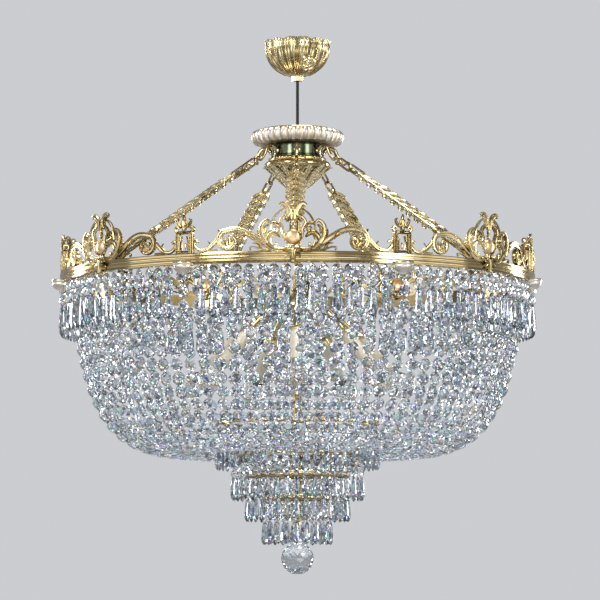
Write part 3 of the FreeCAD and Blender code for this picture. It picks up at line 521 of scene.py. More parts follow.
def pendants(name, radius, top, count, nodes, octagons, size, length, width, start=0.0, skip=None):
    """Small octagons and a drop under each place round a ring."""
    crystals, pins = Build(), Build()
    thick = 0.5
    for i in range(count):
        azimuth = start + i * 360.0 / count
        if skip and skip(azimuth):
            continue
        out, side = radial(azimuth), tangent(azimuth)
        at = out * radius + UP * top
        hole = UP * (size - 0.4)
        for _ in range(octagons):
            centre = at - UP * (size + 1.6)
            across = twisted(side, out, 22)
            set_crystal(crystals, OCTAGON, centre, across, -UP, np.cross(across, UP),
                        (size, size, 0.5 * size))
            pin(pins, at, centre + hole, side, thick)
            at = centre - hole
        across = twisted(side, out, 25)
        head = at - UP * 2.2
        set_crystal(crystals, DROP, head, across, UP, np.cross(across, UP), (width, length, 0.62 * width))
        pin(pins, at, head - UP * 0.8, side, thick)
    crystals.piece(f"{name}_crystals", CRYSTAL, "crystal", nodes, crease=0)
    pins.piece(f"{name}_pins", GOLD, "gold", crease=0)


def near_pilaster(azimuth):
    """Whether a place on the ring is taken by a pilaster's dish."""
    return min(abs((azimuth - p + 180) % 360 - 180) for p in PILASTERS) < 2.6


# Ceiling end

BOWL_TOP, BOWL_DEPTH, BOWL_FOOT_R, BOWL_SPAN = -3.0, 47.0, 11.0, 33.3
BOWL_BORE, BOWL_WALL, BOWL_FLOOR, BOWL_LEAVES = 3.2, 1.6, 1.4, 28
LIP_FOOT, LIP_DEPTH = -13, 10
SCREW_AZIMUTH, SCREW_LEAN, SCREW_DROP = 24, 38, 33.0


def bowl_radius(t):
    """Outer radius of the canopy's bowl at a share of its depth."""
    return BOWL_FOOT_R + BOWL_SPAN * (1 - t ** 3.2) ** 0.8 * (1 - 0.12 * t)


def canopy():
    """Leaf bowl with narrow flutes and a wavy rolled lip, and its round screw head."""
    bowl = Build()
    foot = BOWL_TOP - BOWL_DEPTH
    outer = [(bowl_radius(t), BOWL_TOP - BOWL_DEPTH * t) for t in np.linspace(0, 1, 22)]
    inner = [(max(r - BOWL_WALL, BOWL_BORE), z + (BOWL_FLOOR if r < 20 else 0.0)) for r, z in outer]
    profile = outer + [(BOWL_BORE, foot), (BOWL_BORE, foot + BOWL_FLOOR)] + inner[::-1][1:]
    count = 280
    rows = []
    for r, z in profile:
        lip = max(0.0, (z - LIP_FOOT) / LIP_DEPTH)
        roll = 0.03 * sin(pi * min(1.0, lip))
        for a in angles(count):
            petal = abs(cos(SECTORS * a)) ** 0.6
            flute = abs(cos(BOWL_LEAVES * a + 0.5 * sin(SECTORS * a))) ** 0.7
            ripple = 0.93 + 0.035 * petal + 0.035 * flute - roll if r > 5 else 1.0
            rows.append((r * ripple * cos(a), r * ripple * sin(a), z - 4.0 * (1 - petal) * lip))
    bowl.add(rows, grid_faces(len(profile), count))
    for i in range(BOWL_LEAVES):
        azimuth = i * 360.0 / BOWL_LEAVES + 2.0 * sin(2.3 * i)
        low, high = (0.95, 0.14) if i % 2 else (0.8, 0.05)
        line = [radial(azimuth + 5 * t * sin(1.7 * i)) * (bowl_radius(t) * 0.965)
                + UP * (BOWL_TOP - BOWL_DEPTH * t) for t in np.linspace(low, high, 8)]
        swept(bowl, line, swelling(2.3, 0.0, 0.12, 0.8, 0.8), 18, 6)
    bowl.piece("canopy_leaf_bowl", CAST, "gold_cast", ["canopy_cup"], "canopy")
    out, lean = radial(SCREW_AZIMUTH), radians(SCREW_LEAN)
    axis = out * cos(lean) - UP * sin(lean)
    centre = out * bowl_radius(SCREW_DROP / BOWL_DEPTH) + UP * (BOWL_TOP - SCREW_DROP) + axis
    head = Build()
    lathe(head, [(0.01, -3.6), (9.0, -3.6), (10.9, -1.6), (11.0, 0.4), (10.0, 1.4), (8.6, 0.6), (7.8, 0.5),
                 (6.6, 1.6), (5.4, 1.8), (4.4, 0.8), (3.6, 0.7), (2.4, 1.8), (0.01, 2.2)], 40, origin=centre,
          axis=axis)
    head.piece("canopy_screw_head", GOLD, "gold", ["canopy_screw"], "canopy")


def cable():
    """Taut black cable from its eye to the hub."""
    levels = (-41.9, -58.0, -100.0, -121.0)
    curve = bpy.data.curves.new("suspension_cord", "CURVE")
    curve.dimensions = "3D"
    spline = curve.splines.new("NURBS")
    spline.points.add(len(levels) - 1)
    for point, level in zip(spline.points, levels):
        point.co = (0, 0, level * MM, 1)
    spline.order_u = 3
    spline.use_endpoint_u = True
    curve.bevel_depth = 0.002
    curve.bevel_resolution = 4
    curve.use_fill_caps = True
    curve.materials.append(CABLE)
    made = new_object("suspension_cord", curve)
    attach(made, "chandelier")
    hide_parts("suspension_cable")


# Hub

def hub():
    """Plate, gadrooned rim, beads, mirror drum, mouldings, leaf cone and knob, and the tube through them."""
    turned("hub_plate", GOLD, ["hub_top_plate"],
           [(2.2, -121.0), (34, -121.0), (44, -121.3), (49.5, -122.0), (50.5, -123.6), (47, -124.6),
            (2.2, -124.0)], 96)

    lobes = 36
    ring = Build()
    outline = [(50.0, -123.6), (53.5, -123.3), (57.5, -124.2), (60.2, -126.6), (61.4, -129.8), (61.3, -132.6),
               (60.4, -135.6), (58.8, -138.6), (56.6, -141.0), (50.0, -141.5), (34.6, -141.5), (34.6, -139.5),
               (47.0, -139.5), (50.0, -130.0)]

    def lobed(a, k):
        if not 1 <= k <= 8:
            return 1.0
        return 1 - 0.085 + 0.085 * abs(cos(lobes / 2 * a)) ** 0.6

    lathe(ring, outline, lobes * 10, lobed, closed=True)
    ring.piece("hub_gadroons", PAINTED_LIT_GOLD, "gold_cast", ["hub_gadroon_ring"])

    beads = Build()
    for count, radius, level, size in ((56, 54.2, -125.0, (1.9, 1.9, 1.9)),
                                       (48, 37.2, -161.2, (1.5, 1.4, 1.4))):
        for i in range(count):
            bead(beads, on_flat(i * 360 / count, radius, level), size, sides=8, rows=5)
    beads.piece("hub_beading", CAST, "gold_cast")

    turned("hub_mirror_drum", SHADE, ["hub_drum"],
           [(34.4, -141.5), (34.4, -143.2), (33.4, -144.2), (33.4, -156.0), (34.6, -157.2), (34.6, -159.5),
            (31.5, -159.5), (31.5, -141.5)], 96)
    turned("hub_mouldings", GOLD, ["hub_moulding"],
           [(31, -159.5), (37.0, -159.5), (38.2, -161.2), (37.0, -163.0), (38.8, -164.0), (41.8, -165.4),
            (43.6, -167.8), (43.9, -170.6), (42.6, -172.6), (41.0, -173.5), (30.0, -173.5), (5.3, -173.5),
            (5.3, -171.5), (31, -171.5)], 96)

    cone = Build()
    lathe(cone, [(39.5, -173.5), (36.0, -177.0), (29.0, -182.0), (22.0, -187.5), (15.5, -193.0),
                 (10.0, -197.5), (5.3, -197.5), (5.3, -195.5), (13.0, -192.5), (27.0, -181.0),
                 (36.0, -174.5)], 56,
          lambda a, k: 0.86 + 0.09 * abs(cos(SECTORS * a)) if 0 < k < 5 else 1.0, closed=True)
    leaves = 2 * SECTORS
    for i in range(leaves):
        azimuth = i * 360.0 / leaves
        length, width, sunk = (22.0, 11.0, 2.0) if i % 2 else (29.0, 17.0, 0.0)

        def place(u, v, w):
            t = max(0.0, min(1.0, v / 30.0))
            r = 42.5 - 31.5 * t ** 0.8 + 2.6 * sin(pi * t) + w - sunk
            return radial(azimuth + degrees(u / max(r, 9.0))) * r + UP * (-170.5 - v)

        stroke(cone, place, [(0, 0), (0, length * 0.5), (0, length)],
               lambda t: width * (1 - t) ** 0.6 * (0.45 + 1.1 * t) + 1.0, 4.4, LEAF, 30, 4, 0.42,
               lambda t: 2.6 * (1 - t) ** 3 + 0.6)
    cone.piece("hub_acanthus_cone", CAST, "gold_cast", ["hub_leaf_cone"])

    turned("hub_turned_knob", GOLD, ["hub_knob"],
           [(5.3, -197.5), (8.0, -197.5), (9.4, -198.6), (8.6, -200.0), (10.4, -201.6), (11.0, -203.6),
            (10.2, -205.8), (7.6, -207.4), (6.6, -208.8), (8.6, -210.2), (8.8, -211.6), (7.2, -213.0),
            (6.4, -214.5), (5.3, -214.5)], 40)

    tube = Build()
    lathe(tube, [(4.0, -161.5), (5.0, -161.5), (5.0, -630.0), (4.0, -630.0)], 32, closed=True)
    for z in (-222.0, -332.0, -372.0, -480.0):
        lathe(tube, [(5.0, z), (7.6, z - 0.6), (8.2, z - 2.4), (7.2, z - 4.2), (5.0, z - 5.0)], 28)
    tube.piece("central_rod", GOLD, "gold", ["central_tube"])


# Arms

ARM_START = np.array([70.0, -168.0])
ARM_END = np.array([290.0, -314.0])
ARM_RUN = float(np.linalg.norm(ARM_END - ARM_START))
ARM_ALONG = (ARM_END - ARM_START) / ARM_RUN


def arm_place(azimuth, tilt=0.0):
    """Places (across, along, over) on an arm's line."""
    out = radial(azimuth)
    along = out * ARM_ALONG[0] + UP * ARM_ALONG[1]
    side = tangent(azimuth)
    over = np.cross(side, along)
    if over[2] < 0:
        over = -over
    start = out * ARM_START[0] + UP * ARM_START[1]
    c, s = cos(tilt), sin(tilt)
    return lambda u, v, w: start + along * v + side * (u * c - w * s) + over * (u * s + w * c)


def link(build, place, start, length, half, wire):
    """Round-wire oval link between two distances along an arm."""
    bend = half - wire
    a, b = start + wire, start + length - wire
    points = []
    for t in angles(28):
        c, s = cos(t), sin(t)
        v = (a + b) / 2 + ((b - a) / 2 - bend) * (1 if c > 0 else -1) + c * bend
        points.append((s * bend, v))
    rows = []
    for i, (u, v) in enumerate(points):
        before, after = points[i - 1], points[(i + 1) % len(points)]
        d = unit((after[0] - before[0], after[1] - before[1]))
        for q in angles(8):
            rows.append(place(u - d[1] * wire * cos(q), v + d[0] * wire * cos(q), wire * sin(q)))
    build.add(rows, grid_faces(len(points), 8, closed=True))


# The S-hook's line as (radius, height)
HOOK = [(34, -152), (42, -145.5), (50, -148), (55, -158), (61, -165.5), (67, -163.5), (70.5, -166.5),
        (69.5, -171), (65.5, -171.5)]
STRAP_HALF, STRAP_LEAVES, STRAP_FIRST, STRAP_PITCH = 12.5, 9, 45.0, 15.4


def strap_width(t):
    ends = min(1.0, 8 * t, 8 * (1 - t))
    return 2 * (3.4 + (STRAP_HALF - 3.4) * ends * (0.78 + 0.22 * sin(pi * t)))


def arms():
    """The arms' S-hooks with three beads at their feet, links and leaf straps."""
    hooks, links, straps = Build(), Build(), Build()
    for azimuth in ORNAMENTS:
        out = radial(azimuth)
        swept(hooks, [out * r + UP * z for r, z in HOOK], narrowing(3.0, 0.8), 40, 10)
        for turn in (4, 0, -4):
            foot = radial(azimuth + turn)
            bead(hooks, lambda u, v, w: foot * (34.5 + w) + tangent(azimuth) * u + UP * (-152 + v),
                 (2.4, 3.4, 2.0), sides=8, rows=5)
        flat, edge = arm_place(azimuth), arm_place(azimuth, pi / 2)
        link(links, edge, -1.4, 27.0, 5.6, 1.5)
        link(links, flat, 20.8, 24.0, 5.6, 1.5)
        link(links, flat, 183.0, ARM_RUN - 181.0, 5.8, 1.4)
        band = partial(stroke, straps, flat)
        band([(0, 42.0), (0, 110.0), (0, 186.0)], strap_width, 6.0, FOLDED, 170, STRAP_LEAVES, 0.3, -1.0)
        band([(0, 38.0), (0, 110.0), (0, 190.0)], 3.0, 4.6, BAR, 40, lift=0.4)
        for k, side in product(range(STRAP_LEAVES), (1, -1)):
            v = STRAP_FIRST + k * STRAP_PITCH
            # an upper leaf and a smaller one under it
            for root, bend, inset, rise, width, depth, count, low, climb in (
                    (1.6, 6.4, 1.0, 14, 6.6, 4.0, 16, 0.4, 1.8),
                    (1.0, 5.0, 3.0, 13, 5.0, 3.0, 12, -3.0, 1.5)):
                band([(side * root, v), (side * bend, v + 5), (side * (STRAP_HALF - inset), v + rise)],
                     swelling(width, 0.6, 0.12, 0.8, 0.7), depth, BAR, count, lift=lambda t: low + climb * t)
    hooks.piece("arm_s_hooks", GOLD, "gold", ["arm_hooks"])
    links.piece("arm_chain_links", GOLD, "gold", ["arm_links"])
    straps.piece("arm_acanthus_straps", CAST, "gold_cast", ["arm_leaf_straps"])


# Main ring and gallery

ORNAMENT_R, BOSS_R, SCROLL_R, PILASTER_R, DISH_R, TRIM_R = 311.6, 312.6, 308.0, 309.0, 312.5, 309.5
TRIM_PLACES = 126


def main_ring():
    """Moulded ring with an eye for each arm."""
    ring = Build()
    profile = [(302.0, RING_TOP), (310.4, RING_TOP), (311.8, -316.5), (RING_R, -317.2), (311.9, -319.8),
               (311.0, -320.6), (309.4, -320.9), (309.4, -321.5), (310.6, -321.8), (310.8, -322.4),
               (310.7, -325.0), (310.2, -325.6), (309.0, -325.8), (309.0, -326.5), (311.2, -326.9),
               (RING_R, -327.6), (311.9, -329.4), (311.2, RING_FOOT), (302.0, RING_FOOT)]
    lathe(ring, profile, 280, closed=True)
    for azimuth in ORNAMENTS:
        link(ring, arm_place(azimuth), ARM_RUN - 4.6, 16.0, 4.6, 1.5)
    ring.piece("gallery_ring", GOLD, "gold", ["main_ring"])


def ornaments():
    """Openwork ornaments: leaf pedestal, bands, arcs, leaves, volutes, horns, and a round boss in a cup."""
    cast, boss = Build(), Build()
    for azimuth in ORNAMENTS:
        for side in (1, -1):
            place = on_ring(azimuth, ORNAMENT_R, RING_TOP, side)
            band = partial(stroke, cast, place)
            # body leaf along the ring, then the outer band with its leaf tips
            band([(5, 2.0), (14, 0.6), (23, 1.6), (31, 7.0), (36.5, 15)], lambda t: 6.0 + 1.6 * sin(3 * t),
                 4.6, LEAF, 40)
            band([(33, 9), (37.4, 16.5), (39.4, 25.0), (37.4, 32.4), (31.5, 37.2), (28.2, 34.2)],
                 narrowing(7.0, 3.2), 5.0, REEDED, 44, lift=1.2)
            band([(35.6, 21), (34.0, 28.5), (29.5, 32.0)], pointed(5.6, 1.0), 3.8, LEAF, 20, 2, 0.35)
            band([(38.4, 17), (42.0, 21), (43.0, 26.5)], pointed(4.6, 0.8), 3.4, LEAF, 18, 2, 0.3)
            # arcs
            band([(27.6, 24.0), (26.6, 32.0), (22.8, 40.8), (17.4, 47.2), (9.6, 51.8)], narrowing(3.2, 0.6),
                 5.0, BAR, 36)
            band([(25.4, 19), (27.2, 13.0), (25.6, 6.5), (20.8, 1.0)], 2.8, 4.6, BAR, 26)
            # leaf and small volute between the arcs, a leaf above and a berry on a stalk below
            band([(32.5, 12.0), (30.0, 18.6), (24.6, 22.4), (19.4, 20.2), (15.4, 16.4)],
                 swelling(6.6, 0.6, 0.14, 0.78), 5.0, LEAF, 32, lift=lambda t: 1.4 * sin(3 * t))
            band(spiral((19.6, 26.0), 5.2, 1.8, 215, -430, 22), narrowing(3.2, 1.0), 5.0, BAR, 40, lift=0.8)
            bead(cast, place, (1.7, 1.7, 2.4), (19.6, 26.0, 0.8))
            band([(25.6, 34.0), (20.6, 33.6), (16.8, 31.0)], pointed(5.0, 1.2), 4.2, LEAF, 18, 2, 0.3, 0.8)
            bead(cast, place, (2.0, 2.6, 2.2), (20.4, 7.6, 0.2))
            band([(20.4, 6.0), (20.0, 3.0), (18.0, 1.0)], 2.2, 4.0, BAR, 10)
            # inner band from the horn's foot to the cup
            band([(7.6, 43.4), (13.0, 39.4), (15.4, 34.8), (13.4, 30.0), (11.4, 25.0), (12.0, 19.5),
                  (10.8, 14.0)], narrowing(4.6, 2.0), 5.0, REEDED, 44, lift=1.0)
            # horn
            band([(9.4, 40.4), (5.6, 44.2), (5.8, 50.0), (8.6, 55.0), (12.8, 57.4), (16.2, 55.2)],
                 lambda t: 4.0 + 3.0 * sin(2.9 * t), 5.4, REEDED, 44, lift=lambda t: 0.6 + 0.8 * t)
            # cup under the boss, neck and collar
            cup = [(10.6 * sin(a), 17.2 - 10.6 * cos(a)) for a in np.linspace(-0.05, 1.9, 14)]
            band(cup, narrowing(2.6, 1.0), 5.4, BAR, 28, lift=1.0)
            bead(cast, place, (4.2, 3.2, 3.2), (4.8, 4.4, 1.6))
            band([(2.0, 0.4), (7.5, -1.6), (12.4, 0.6)], pointed(6.0, 1.6, 1), 5.0, LEAF, 18, lift=1.8)
            band([(1.5, -5.4), (6.0, -5.4), (9.6, -8.0)], narrowing(4.8, 1.6), 5.0, BAR, 14, lift=2.0)
        # stems between the horns, bud above the boss and the pedestal's leaf below it
        place = on_ring(azimuth, ORNAMENT_R, RING_TOP)
        band = partial(stroke, cast, place)
        for u in (-2.3, 2.3):
            band([(u * 0.8, 38.5), (u, 44), (u * 1.3, 50.6)], lambda t: 3.2 + 0.8 * t, 5.0, BAR, 20, lift=1.0)
        band([(0, 25), (0, 33), (0, 40)], lambda t: 1.8 + 3.4 * sin(pi * t) ** 4, 4.4, BAR, 22)
        band([(0, 1.0), (0, -7), (0, -14.6)], lambda t: 11.0 - 3.6 * t - 2.0 * sin(3 * t), 5.0, LEAF, 28,
             lift=2.2)
        bead(cast, place, (3.4, 2.4, 3.2), (0, -13.8, 1.8))
        centre = on_ring(azimuth, BOSS_R, RING_TOP + 17.2)
        profile = [(9.0, -3.6), (9.4, -1.6), (9.3, 0.0), (8.7, 1.3), (7.4, 2.5), (5.4, 3.4), (2.8, 3.9),
                   (0.05, 4.0)]
        rows = [centre(r * cos(a), r * sin(a), w) for r, w in profile for a in angles(36)]
        boss.add(rows, grid_faces(len(profile), 36))
    cast.piece("gallery_ornaments", CAST, "gold_cast", ["crown_ornaments"])
    boss.piece("gallery_bosses", COPPER, "gold_cast")


def scrolls():
    """C-scrolls with volutes, acanthus inside them, twigs at their roots and tendrils on to the pilasters."""
    cast = Build()
    for azimuth, side in product(ORNAMENTS, (1, -1)):
        place = on_ring(azimuth, SCROLL_R, RING_TOP, side)
        band = partial(stroke, cast, place)
        main = [(17, 1.0), (26, 3.0), (37.6, 10.2), (54, 21.4), (63, 25.6), (72.5, 27.2)]
        main += spiral((80.5, 13.4), 12.9, 7.4, 62, -310, 26)
        band(main, lambda t: 6.2 + 2.6 * sin(pi * t ** 0.7) - 2.8 * t, 6.4, REEDED, 120)
        bead(cast, place, (2.6, 2.6, 3.2), (84.5, 15.0, 0.6))
        # leaves inside the scroll
        for root, tip, width in (((82, 3), (86, 15), 7.4), ((80, 4), (79, 20), 7.4),
                                 ((77, 4), (71.5, 14), 7.0), ((58, 24), (50, 14), 6.0)):
            middle = ((root[0] + tip[0]) / 2, (root[1] + tip[1]) / 2 + 1.6)
            band([root, middle, tip], pointed(width, 0.9, 0.55), 4.0, LEAF, 26, 3, 0.3,
                 lambda t: 0.6 + 1.2 * t)
        # twig at the root
        band([(28, 1.2), (38, 1.6), (48, 5.0), (54, 4.2), (52, 1.4)], narrowing(3.4, 1.4), 3.6, BAR, 26)
        band([(38, 1.4), (44, 9.0), (50, 9.6)], pointed(4.6, 1.0, 1), 3.4, LEAF, 18, 2, 0.4)
        # leaves on the back of the scroll
        for u, v, du, dv in ((44, 17, -6, 4), (88.5, 24, 5, 4)):
            band([(u, v), (u + du * 0.5, v + dv * 0.3), (u + du, v + dv)], pointed(5.0, 0.8), 3.6, LEAF, 18,
                 2, 0.35, 0.6)
        # tendril, its leaf and the root of both
        band([(94.5, 15), (99, 10.4), (105, 5.2), (111.5, 2.6), (118, 2.8), (123.3, 6.8), (125.4, 12),
              (123, 15.2), (119.8, 13)], narrowing(5.4, 2.4), 5.0, REEDED, 50)
        band([(109, 4), (104, 9), (107, 14)], pointed(4.6, 0.9, 1), 3.4, LEAF, 18, 2, 0.4)
        band([(94, 1.4), (100, 1.6), (108, 1.4)], 3.4, 3.8, BAR, 10)
    cast.piece("gallery_scrolls", CAST, "gold_cast", ["crown_scrolls"])


def pilasters():
    """Windowed pilasters with fluted columns, curled capitals and lobed finials, and their dishes."""
    cast, glint, dish = Build(), Build(), Build()
    dish_profile = [(0.05, -329.0), (10.6, -327.4), (12.9, -327.0), (13.6, -328.4), (13.3, -330.4),
                    (12.3, -331.6), (12.6, -332.6), (11.8, -335.4), (9.4, -338.4), (6.0, -340.6),
                    (3.4, -341.6), (2.4, -343.0), (0.05, -343.4)]

    def scalloped(a, k):
        return 1.0 - (0.03 * (0.5 + 0.5 * cos(20 * a)) if 1 <= k <= 3 else 0)

    for azimuth in PILASTERS:
        place = on_ring(azimuth, PILASTER_R, RING_TOP)
        band = partial(stroke, cast, place)
        for side in (1, -1):
            for u in (7.2, 9.4, 11.6):
                band([(side * u, -2), (side * u, 10), (side * u, 24)], 2.3, 6.6, BAR, 8)
            band([(side * u, v) for u, v in ((3, 25.5), (9, 26.5), (12.5, 29.5), (10.5, 33), (7.5, 31))],
                 narrowing(4.2, 1.8), 6.0, REEDED, 26)
            band([(side * u, v) for u, v in ((1, 33), (6, 35), (9.5, 40), (7, 43))], pointed(5.6, 1.0), 4.4,
                 LEAF, 22, 3, 0.35, 1.0)
            band([(side * u, v) for u, v in ((4.6, 4), (5.0, 12), (3.0, 21))], 1.6, 4.0, BAR, 10)
        for v, width, depth in ((-0.5, 25, 7.6), (2.2, 22, 6.6), (24.6, 22.5, 7.0), (26.8, 20, 6.0)):
            band([(-width / 2, v), (0, v), (width / 2, v)], 2.3, depth, BAR, 6)
        band([(0, 27), (0, 38), (0, 48)], swelling(9.0, 0.0, 0.22, 0.74), 5.4, LEAF, 30, 3, 0.3, 1.0)
        bead(cast, place, (2.2, 3.0, 2.4), (0, 30.5, 2.6))
        # painted glint: a small amber-gold bead set in each window
        bead(glint, place, (1.8, 4.2, 1.0), (0.4, 9.0, -1.2), 14, 8)
        lathe(dish, dish_profile, 40, scalloped, origin=radial(azimuth) * DISH_R)
    cast.piece("gallery_pilasters", CAST, "gold_cast", ["crown_pilasters"])
    glint.piece("gallery_pilaster_window_glints", COPPER, "gold_cast")
    dish.piece("gallery_dishes", PAINTED_LIT_GOLD, "gold", ["pilaster_cups"])


# Lamps

LAMP_TILT = radians(46.0)
LAMP_R, LAMP_LEVEL = 84.0, 398.0
HOLDER_DEPTH, SLEEVE_LENGTH = 9.0, 55.15


def lamps():
    """Cluster body and, for each lamp, its bent tube, holder, candle sleeve and bulb on one sloping axis."""
    body, tubes, cups, sleeves = Build(), Build(), Build(), Build()
    lathe(body, [(5.1, -340.0), (9, -340.0), (12, -342.0), (17, -344.5), (20, -348.0), (19, -351.5),
                 (20, -355.0), (16.5, -359.5), (11, -362.0), (8, -364.0), (5.1, -364.0)], 48, closed=True)
    for number, azimuth in enumerate(ORNAMENTS, start=1):
        out = radial(azimuth)
        axis = out * cos(LAMP_TILT) - UP * sin(LAMP_TILT)
        start = out * LAMP_R - UP * LAMP_LEVEL
        seat = start - axis * HOLDER_DEPTH
        swept(tubes, [out * 18 - UP * 352, out * 26 - UP * 351.5, out * 34 - UP * 354, seat - axis * 12,
                      seat], 3.3, 26, 10)
        lathe(cups, [(3.6, -9.4), (6.4, -9.0), (8.2, -6.5), (9.0, -3.4), (10.5, -1.0), (10.5, 0.4),
                     (8.2, 0.6), (0.05, 0.2)], 32, origin=start, axis=axis)
        lathe(sleeves, [(8.0, 0.0), (8.0, 54.0), (7.6, 55.0), (6.6, 55.0), (0.05, 54.8)], 32, origin=start,
              axis=axis)
        top = start + axis * SLEEVE_LENGTH
        glass, cap = Build(), Build()
        lathe(glass, [(6.6, 5.0), (7.4, 9.0), (11.6, 15.5), (15.2, 22.0), (16.8, 28.0), (16.6, 33.5),
                      (13.8, 39.6), (8.6, 43.8), (3.6, 45.7), (0.05, 46.0)], 32, origin=top, axis=axis)
        bulb = f"bulb_{number}"
        glass.piece(f"lamp_glass_{number}", LAMP_GLASS, "bulb_glass", [bulb], bulb)
        lathe(cap, [(0.05, 0.1), (6.6, 0.1), (6.9, 1.0), (6.6, 1.8), (6.9, 2.6), (6.6, 3.4), (6.9, 4.2),
                    (6.7, 5.4), (2.2, 6.0), (2.0, 18.0), (0.05, 18.2)], 24, origin=top, axis=axis)
        cap.piece(f"lamp_cap_{number}", STEEL, "bulb_glass", body=bulb)
    body.piece("lamp_cluster_body", GOLD, "gold", ["lamp_body"])
    tubes.piece("lamp_tubes", GOLD, "gold", ["lamp_arms"])
    cups.piece("lamp_cups", GOLD, "gold", ["lamp_holders"])
    sleeves.piece("lamp_sleeves", CANDLE, "candle", ["candle_sleeves"])


# Tiers, nut and ball

# name, radius, top and number of pendants
TIERS = (("a", 107.0, -506.5, 49), ("b", 86.5, -546.5, 42), ("c", 68.0, -574.0, 35), ("d", 45.5, -604.0, 21))


def tiers():
    """Tier rings with collars and crosses, and their pendants."""
    for name, r, z, count in TIERS:
        band = Build()
        lathe(band, [(r - 3, z), (r - 0.6, z), (r, z - 0.8), (r - 0.7, z - 2.2), (r - 0.7, z - 3.8),
                     (r, z - 5.2), (r - 0.6, z - 6.0), (r - 3, z - 6.0)], 112, closed=True)
        lathe(band, [(5.2, z), (8.2, z), (9.0, z - 1.4), (8.2, z - 3.0), (9.0, z - 4.6), (8.2, z - 6.0),
                     (5.2, z - 6.0)], 32, closed=True)
        for turn in (0, 90, 180, 270):
            a = radians(turn)
            d = np.array([cos(a), sin(a), 0])
            swept(band, [d * 6 + UP * (z - 5), d * (r / 2) + UP * (z - 5), d * (r - 1.5) + UP * (z - 5)],
                  2.4, 4, 8, 0.42)
        band.piece(f"tier_band_{name}", GOLD, "gold", [f"tier_ring_{name}"])
        pendants(f"tier_{name}", r - 1.5, z - 6.0, count, [f"tier_drops_{name}"], octagons=3, size=4.0,
                 length=28.5, width=4.8)


def faceted_ball(build, level, radius, sides=16, rows=9):
    """Ball cut in diamond facets, on the axis."""
    points, faces = [], []
    for k in range(rows):
        b = pi * (k + 1) / (rows + 1)
        for a in angles(sides, 0.5 * (k % 2)):
            points.append((radius * sin(b) * cos(a), radius * sin(b) * sin(a),
                           level + radius * cos(b)))
    for k in range(rows - 1):
        for i in range(sides):
            j = (i + 1) % sides
            a, b = k * sides, (k + 1) * sides
            if k % 2 == 0:
                faces += [(a + i, b + i, a + j), (a + j, b + i, b + j)]
            else:
                faces += [(a + i, b + i, b + j), (a + i, b + j, a + j)]
    faces += [tuple(range(sides)), tuple(range((rows - 1) * sides, rows * sides))[::-1]]
    build.add(points, faces)


def add_eye(build, level):
    """Round wire eye on the axis."""
    points = []
    for a in angles(24):
        for q in angles(8):
            r = 2.7 + 0.8 * cos(q)
            points.append((r * cos(a), 0.8 * sin(q), level + r * sin(a)))
    build.add(points, grid_faces(24, 8, closed=True))


def bottom():
    """Nut with its eye at the foot of the tube, and the ball with its own eye."""
    nut, ball, eye = Build(), Build(), Build()
    lathe(nut, [(0.05, -630.0), (8.6, -630.0), (9.0, -631.4), (8.4, -633.4), (6.0, -635.0), (4.6, -637.0),
                (2.6, -638.8), (0.05, -639.2)], 36)
    add_eye(nut, -641.5)
    nut.piece("finial_nut", GOLD, "gold", ["bottom_nut"])
    faceted_ball(ball, -686.0, 21.4)
    lathe(ball, [(0.05, -664.0), (2.6, -664.2), (3.0, -665.5), (3.4, -667.0)], 10)
    ball.piece("ball_cut_crystal", BALL, "crystal_ball", ["crystal_ball"], "ball", crease=0)
    add_eye(eye, -661.6)
    lathe(eye, [(0.05, -664.0), (1.0, -664.2), (1.0, -668.0), (0.05, -668.2)], 10)
    eye.piece("ball_eye", GOLD, "crystal_ball", body="ball")


# Background, lights and camera

STUDIO = (0.66, 0.675, 0.70, 1)
FLOOR_REACH, FLOOR_LEVEL = 16, -4.2


def studio_rays(tree, path):
    """1 for rays that should meet the pale studio: straight from the camera, off metal or through glass."""
    held = path.outputs["Is Camera Ray"]
    for kind in ("Is Transmission Ray", "Is Glossy Ray"):
        either = node(tree, "ShaderNodeMath", operation="MAXIMUM")
        tree.links.new(held, either.inputs[0])
        tree.links.new(path.outputs[kind], either.inputs[1])
        held = either.outputs[0]
    return held


def background():
    """Plain pale floor, with a glow of its own for the rays that should meet the studio."""
    mesh = bpy.data.meshes.new("studio_floor")
    corners = [(x, y, FLOOR_LEVEL) for x, y in ((-1, -1), (1, -1), (1, 1), (-1, 1))]
    mesh.from_pydata([(x * FLOOR_REACH, y * FLOOR_REACH, z) for x, y, z in corners], [], [(0, 1, 2, 3)])
    material, tree, shader = new_material("studio_paper")
    shader.inputs["Base Color"].default_value = STUDIO
    shader.inputs["Roughness"].default_value = 0.9
    glow = node(tree, "ShaderNodeEmission", {"Color": STUDIO, "Strength": 0.9})
    seen = studio_rays(tree, node(tree, "ShaderNodeLightPath"))
    share = node(tree, "ShaderNodeMath", {1: 0.86}, operation="MULTIPLY")
    tree.links.new(seen, share.inputs[0])
    blend = node(tree, "ShaderNodeMixShader")
    output = next(n for n in tree.nodes if n.type == "OUTPUT_MATERIAL")
    tree.links.new(share.outputs[0], blend.inputs["Fac"])
    tree.links.new(shader.outputs["BSDF"], blend.inputs[1])
    tree.links.new(glow.outputs["Emission"], blend.inputs[2])
    tree.links.new(blend.outputs["Shader"], output.inputs["Surface"])
    mesh.materials.append(material)
    floor = new_object("studio_floor", mesh)


def area_light(name, place, size, power):
    """Rectangular light that points at the chandelier's middle."""
    light = bpy.data.lights.new(name, "AREA")
    light.shape = "RECTANGLE"
    light.size, light.size_y = size
    light.energy = power
    made = new_object(name, light)
    made.location = place
    made.rotation_euler = (Vector((0, 0, -0.38)) - Vector(place)).to_track_quat("-Z", "Y").to_euler()


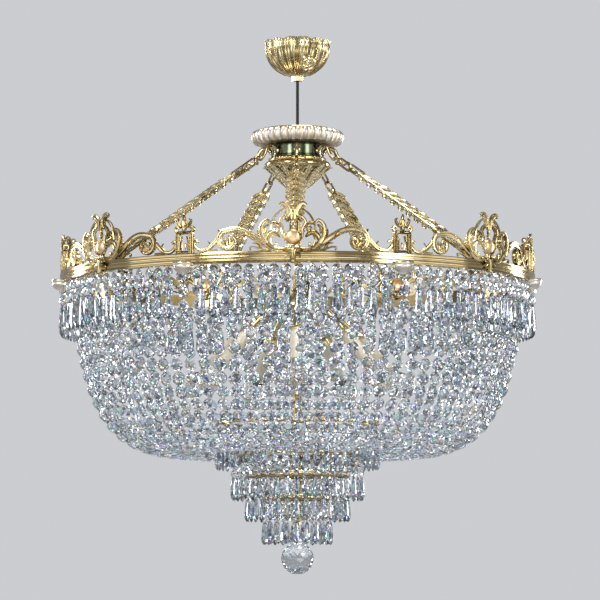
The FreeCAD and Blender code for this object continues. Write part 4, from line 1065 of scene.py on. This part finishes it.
def lights():
    """Pale air that is brighter where the camera sees it, and soft lights."""
    world = bpy.data.worlds.new("studio_air")
    bpy.context.scene.world = world
    world.use_nodes = True
    tree = world.node_tree
    shade = next(n for n in tree.nodes if n.type == "BACKGROUND")
    shade.inputs["Color"].default_value = STUDIO
    path = node(tree, "ShaderNodeLightPath")
    mirrored = node(tree, "ShaderNodeMath", {1: 0.18, 2: 0.27}, operation="MULTIPLY_ADD")
    direct = node(tree, "ShaderNodeMath", {1: 0.45}, operation="MULTIPLY_ADD")
    tree.links.new(studio_rays(tree, path), mirrored.inputs[0])
    tree.links.new(path.outputs["Is Camera Ray"], direct.inputs[0])
    tree.links.new(mirrored.outputs[0], direct.inputs[2])
    tree.links.new(direct.outputs[0], shade.inputs["Strength"])
    area_light("key_left", (-1.9, -2.6, 0.9), (0.9, 1.4), 60)
    area_light("fill_right", (2.2, -2.2, 0.2), (0.8, 1.6), 34)
    area_light("top", (0.2, -0.3, 1.6), (1.2, 1.2), 34)
    area_light("front_low", (0.2, -3.5, -1.5), (3.2, 0.6), 20)
    area_light("front_wide", (0.0, -5.6, 0.4), (3.4, 1.4), 20)
    area_light("wall_left", (-3.6, -1.6, 0.1), (2.6, 1.3), 12)
    area_light("wall_right", (3.6, -1.6, 0.1), (2.6, 1.3), 12)
    area_light("rim_left", (-2.0, 1.4, 0.1), (0.4, 1.4), 26)
    area_light("rim_right", (2.0, 1.5, -0.2), (0.4, 1.4), 26)


def camera():
    """The photograph's view: its focal length is in pixels of a 600 pixel wide frame."""
    focal_px, frame_px = 3370, 600
    data = bpy.data.cameras.new("camera")
    data.sensor_width = 36.0
    data.lens = focal_px / frame_px * 36.0
    data.clip_end = 50.0
    made = new_object("camera", data)
    made.location = (0.0033, -4.412, -0.772)
    made.rotation_euler = (radians(95.5), 0, 0)
    bpy.context.scene.camera = made


def dress_frame():
    """Better finish on the CAD pieces that show as they are."""
    for name, material in (("ceiling_bracket", STEEL), ("ceiling_eye", STEEL), ("hanger_link", STEEL),
                           ("cable_eye", STEEL), ("canopy_nut", GOLD), ("ball_hanger", GOLD)):
        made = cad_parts[name]
        made.data.materials.clear()
        made.data.materials.append(material)
        edge = made.modifiers.new("edges", "BEVEL")
        edge.width = 0.0003
        edge.segments = 2
        edge.limit_method = "ANGLE"


bpy.context.scene.view_settings.view_transform = "Standard"
camera()
cable()
canopy()
hub()
arms()
main_ring()
ornaments()
scrolls()
pilasters()
lamps()
net()
pendants("trim", TRIM_R, RING_FOOT, TRIM_PLACES, ["trim_drops"], octagons=2, size=5.9, length=38.2,
         width=5.9, start=180.0 / TRIM_PLACES, skip=near_pilaster)
tiers()
bottom()
dress_frame()
background()
lights()
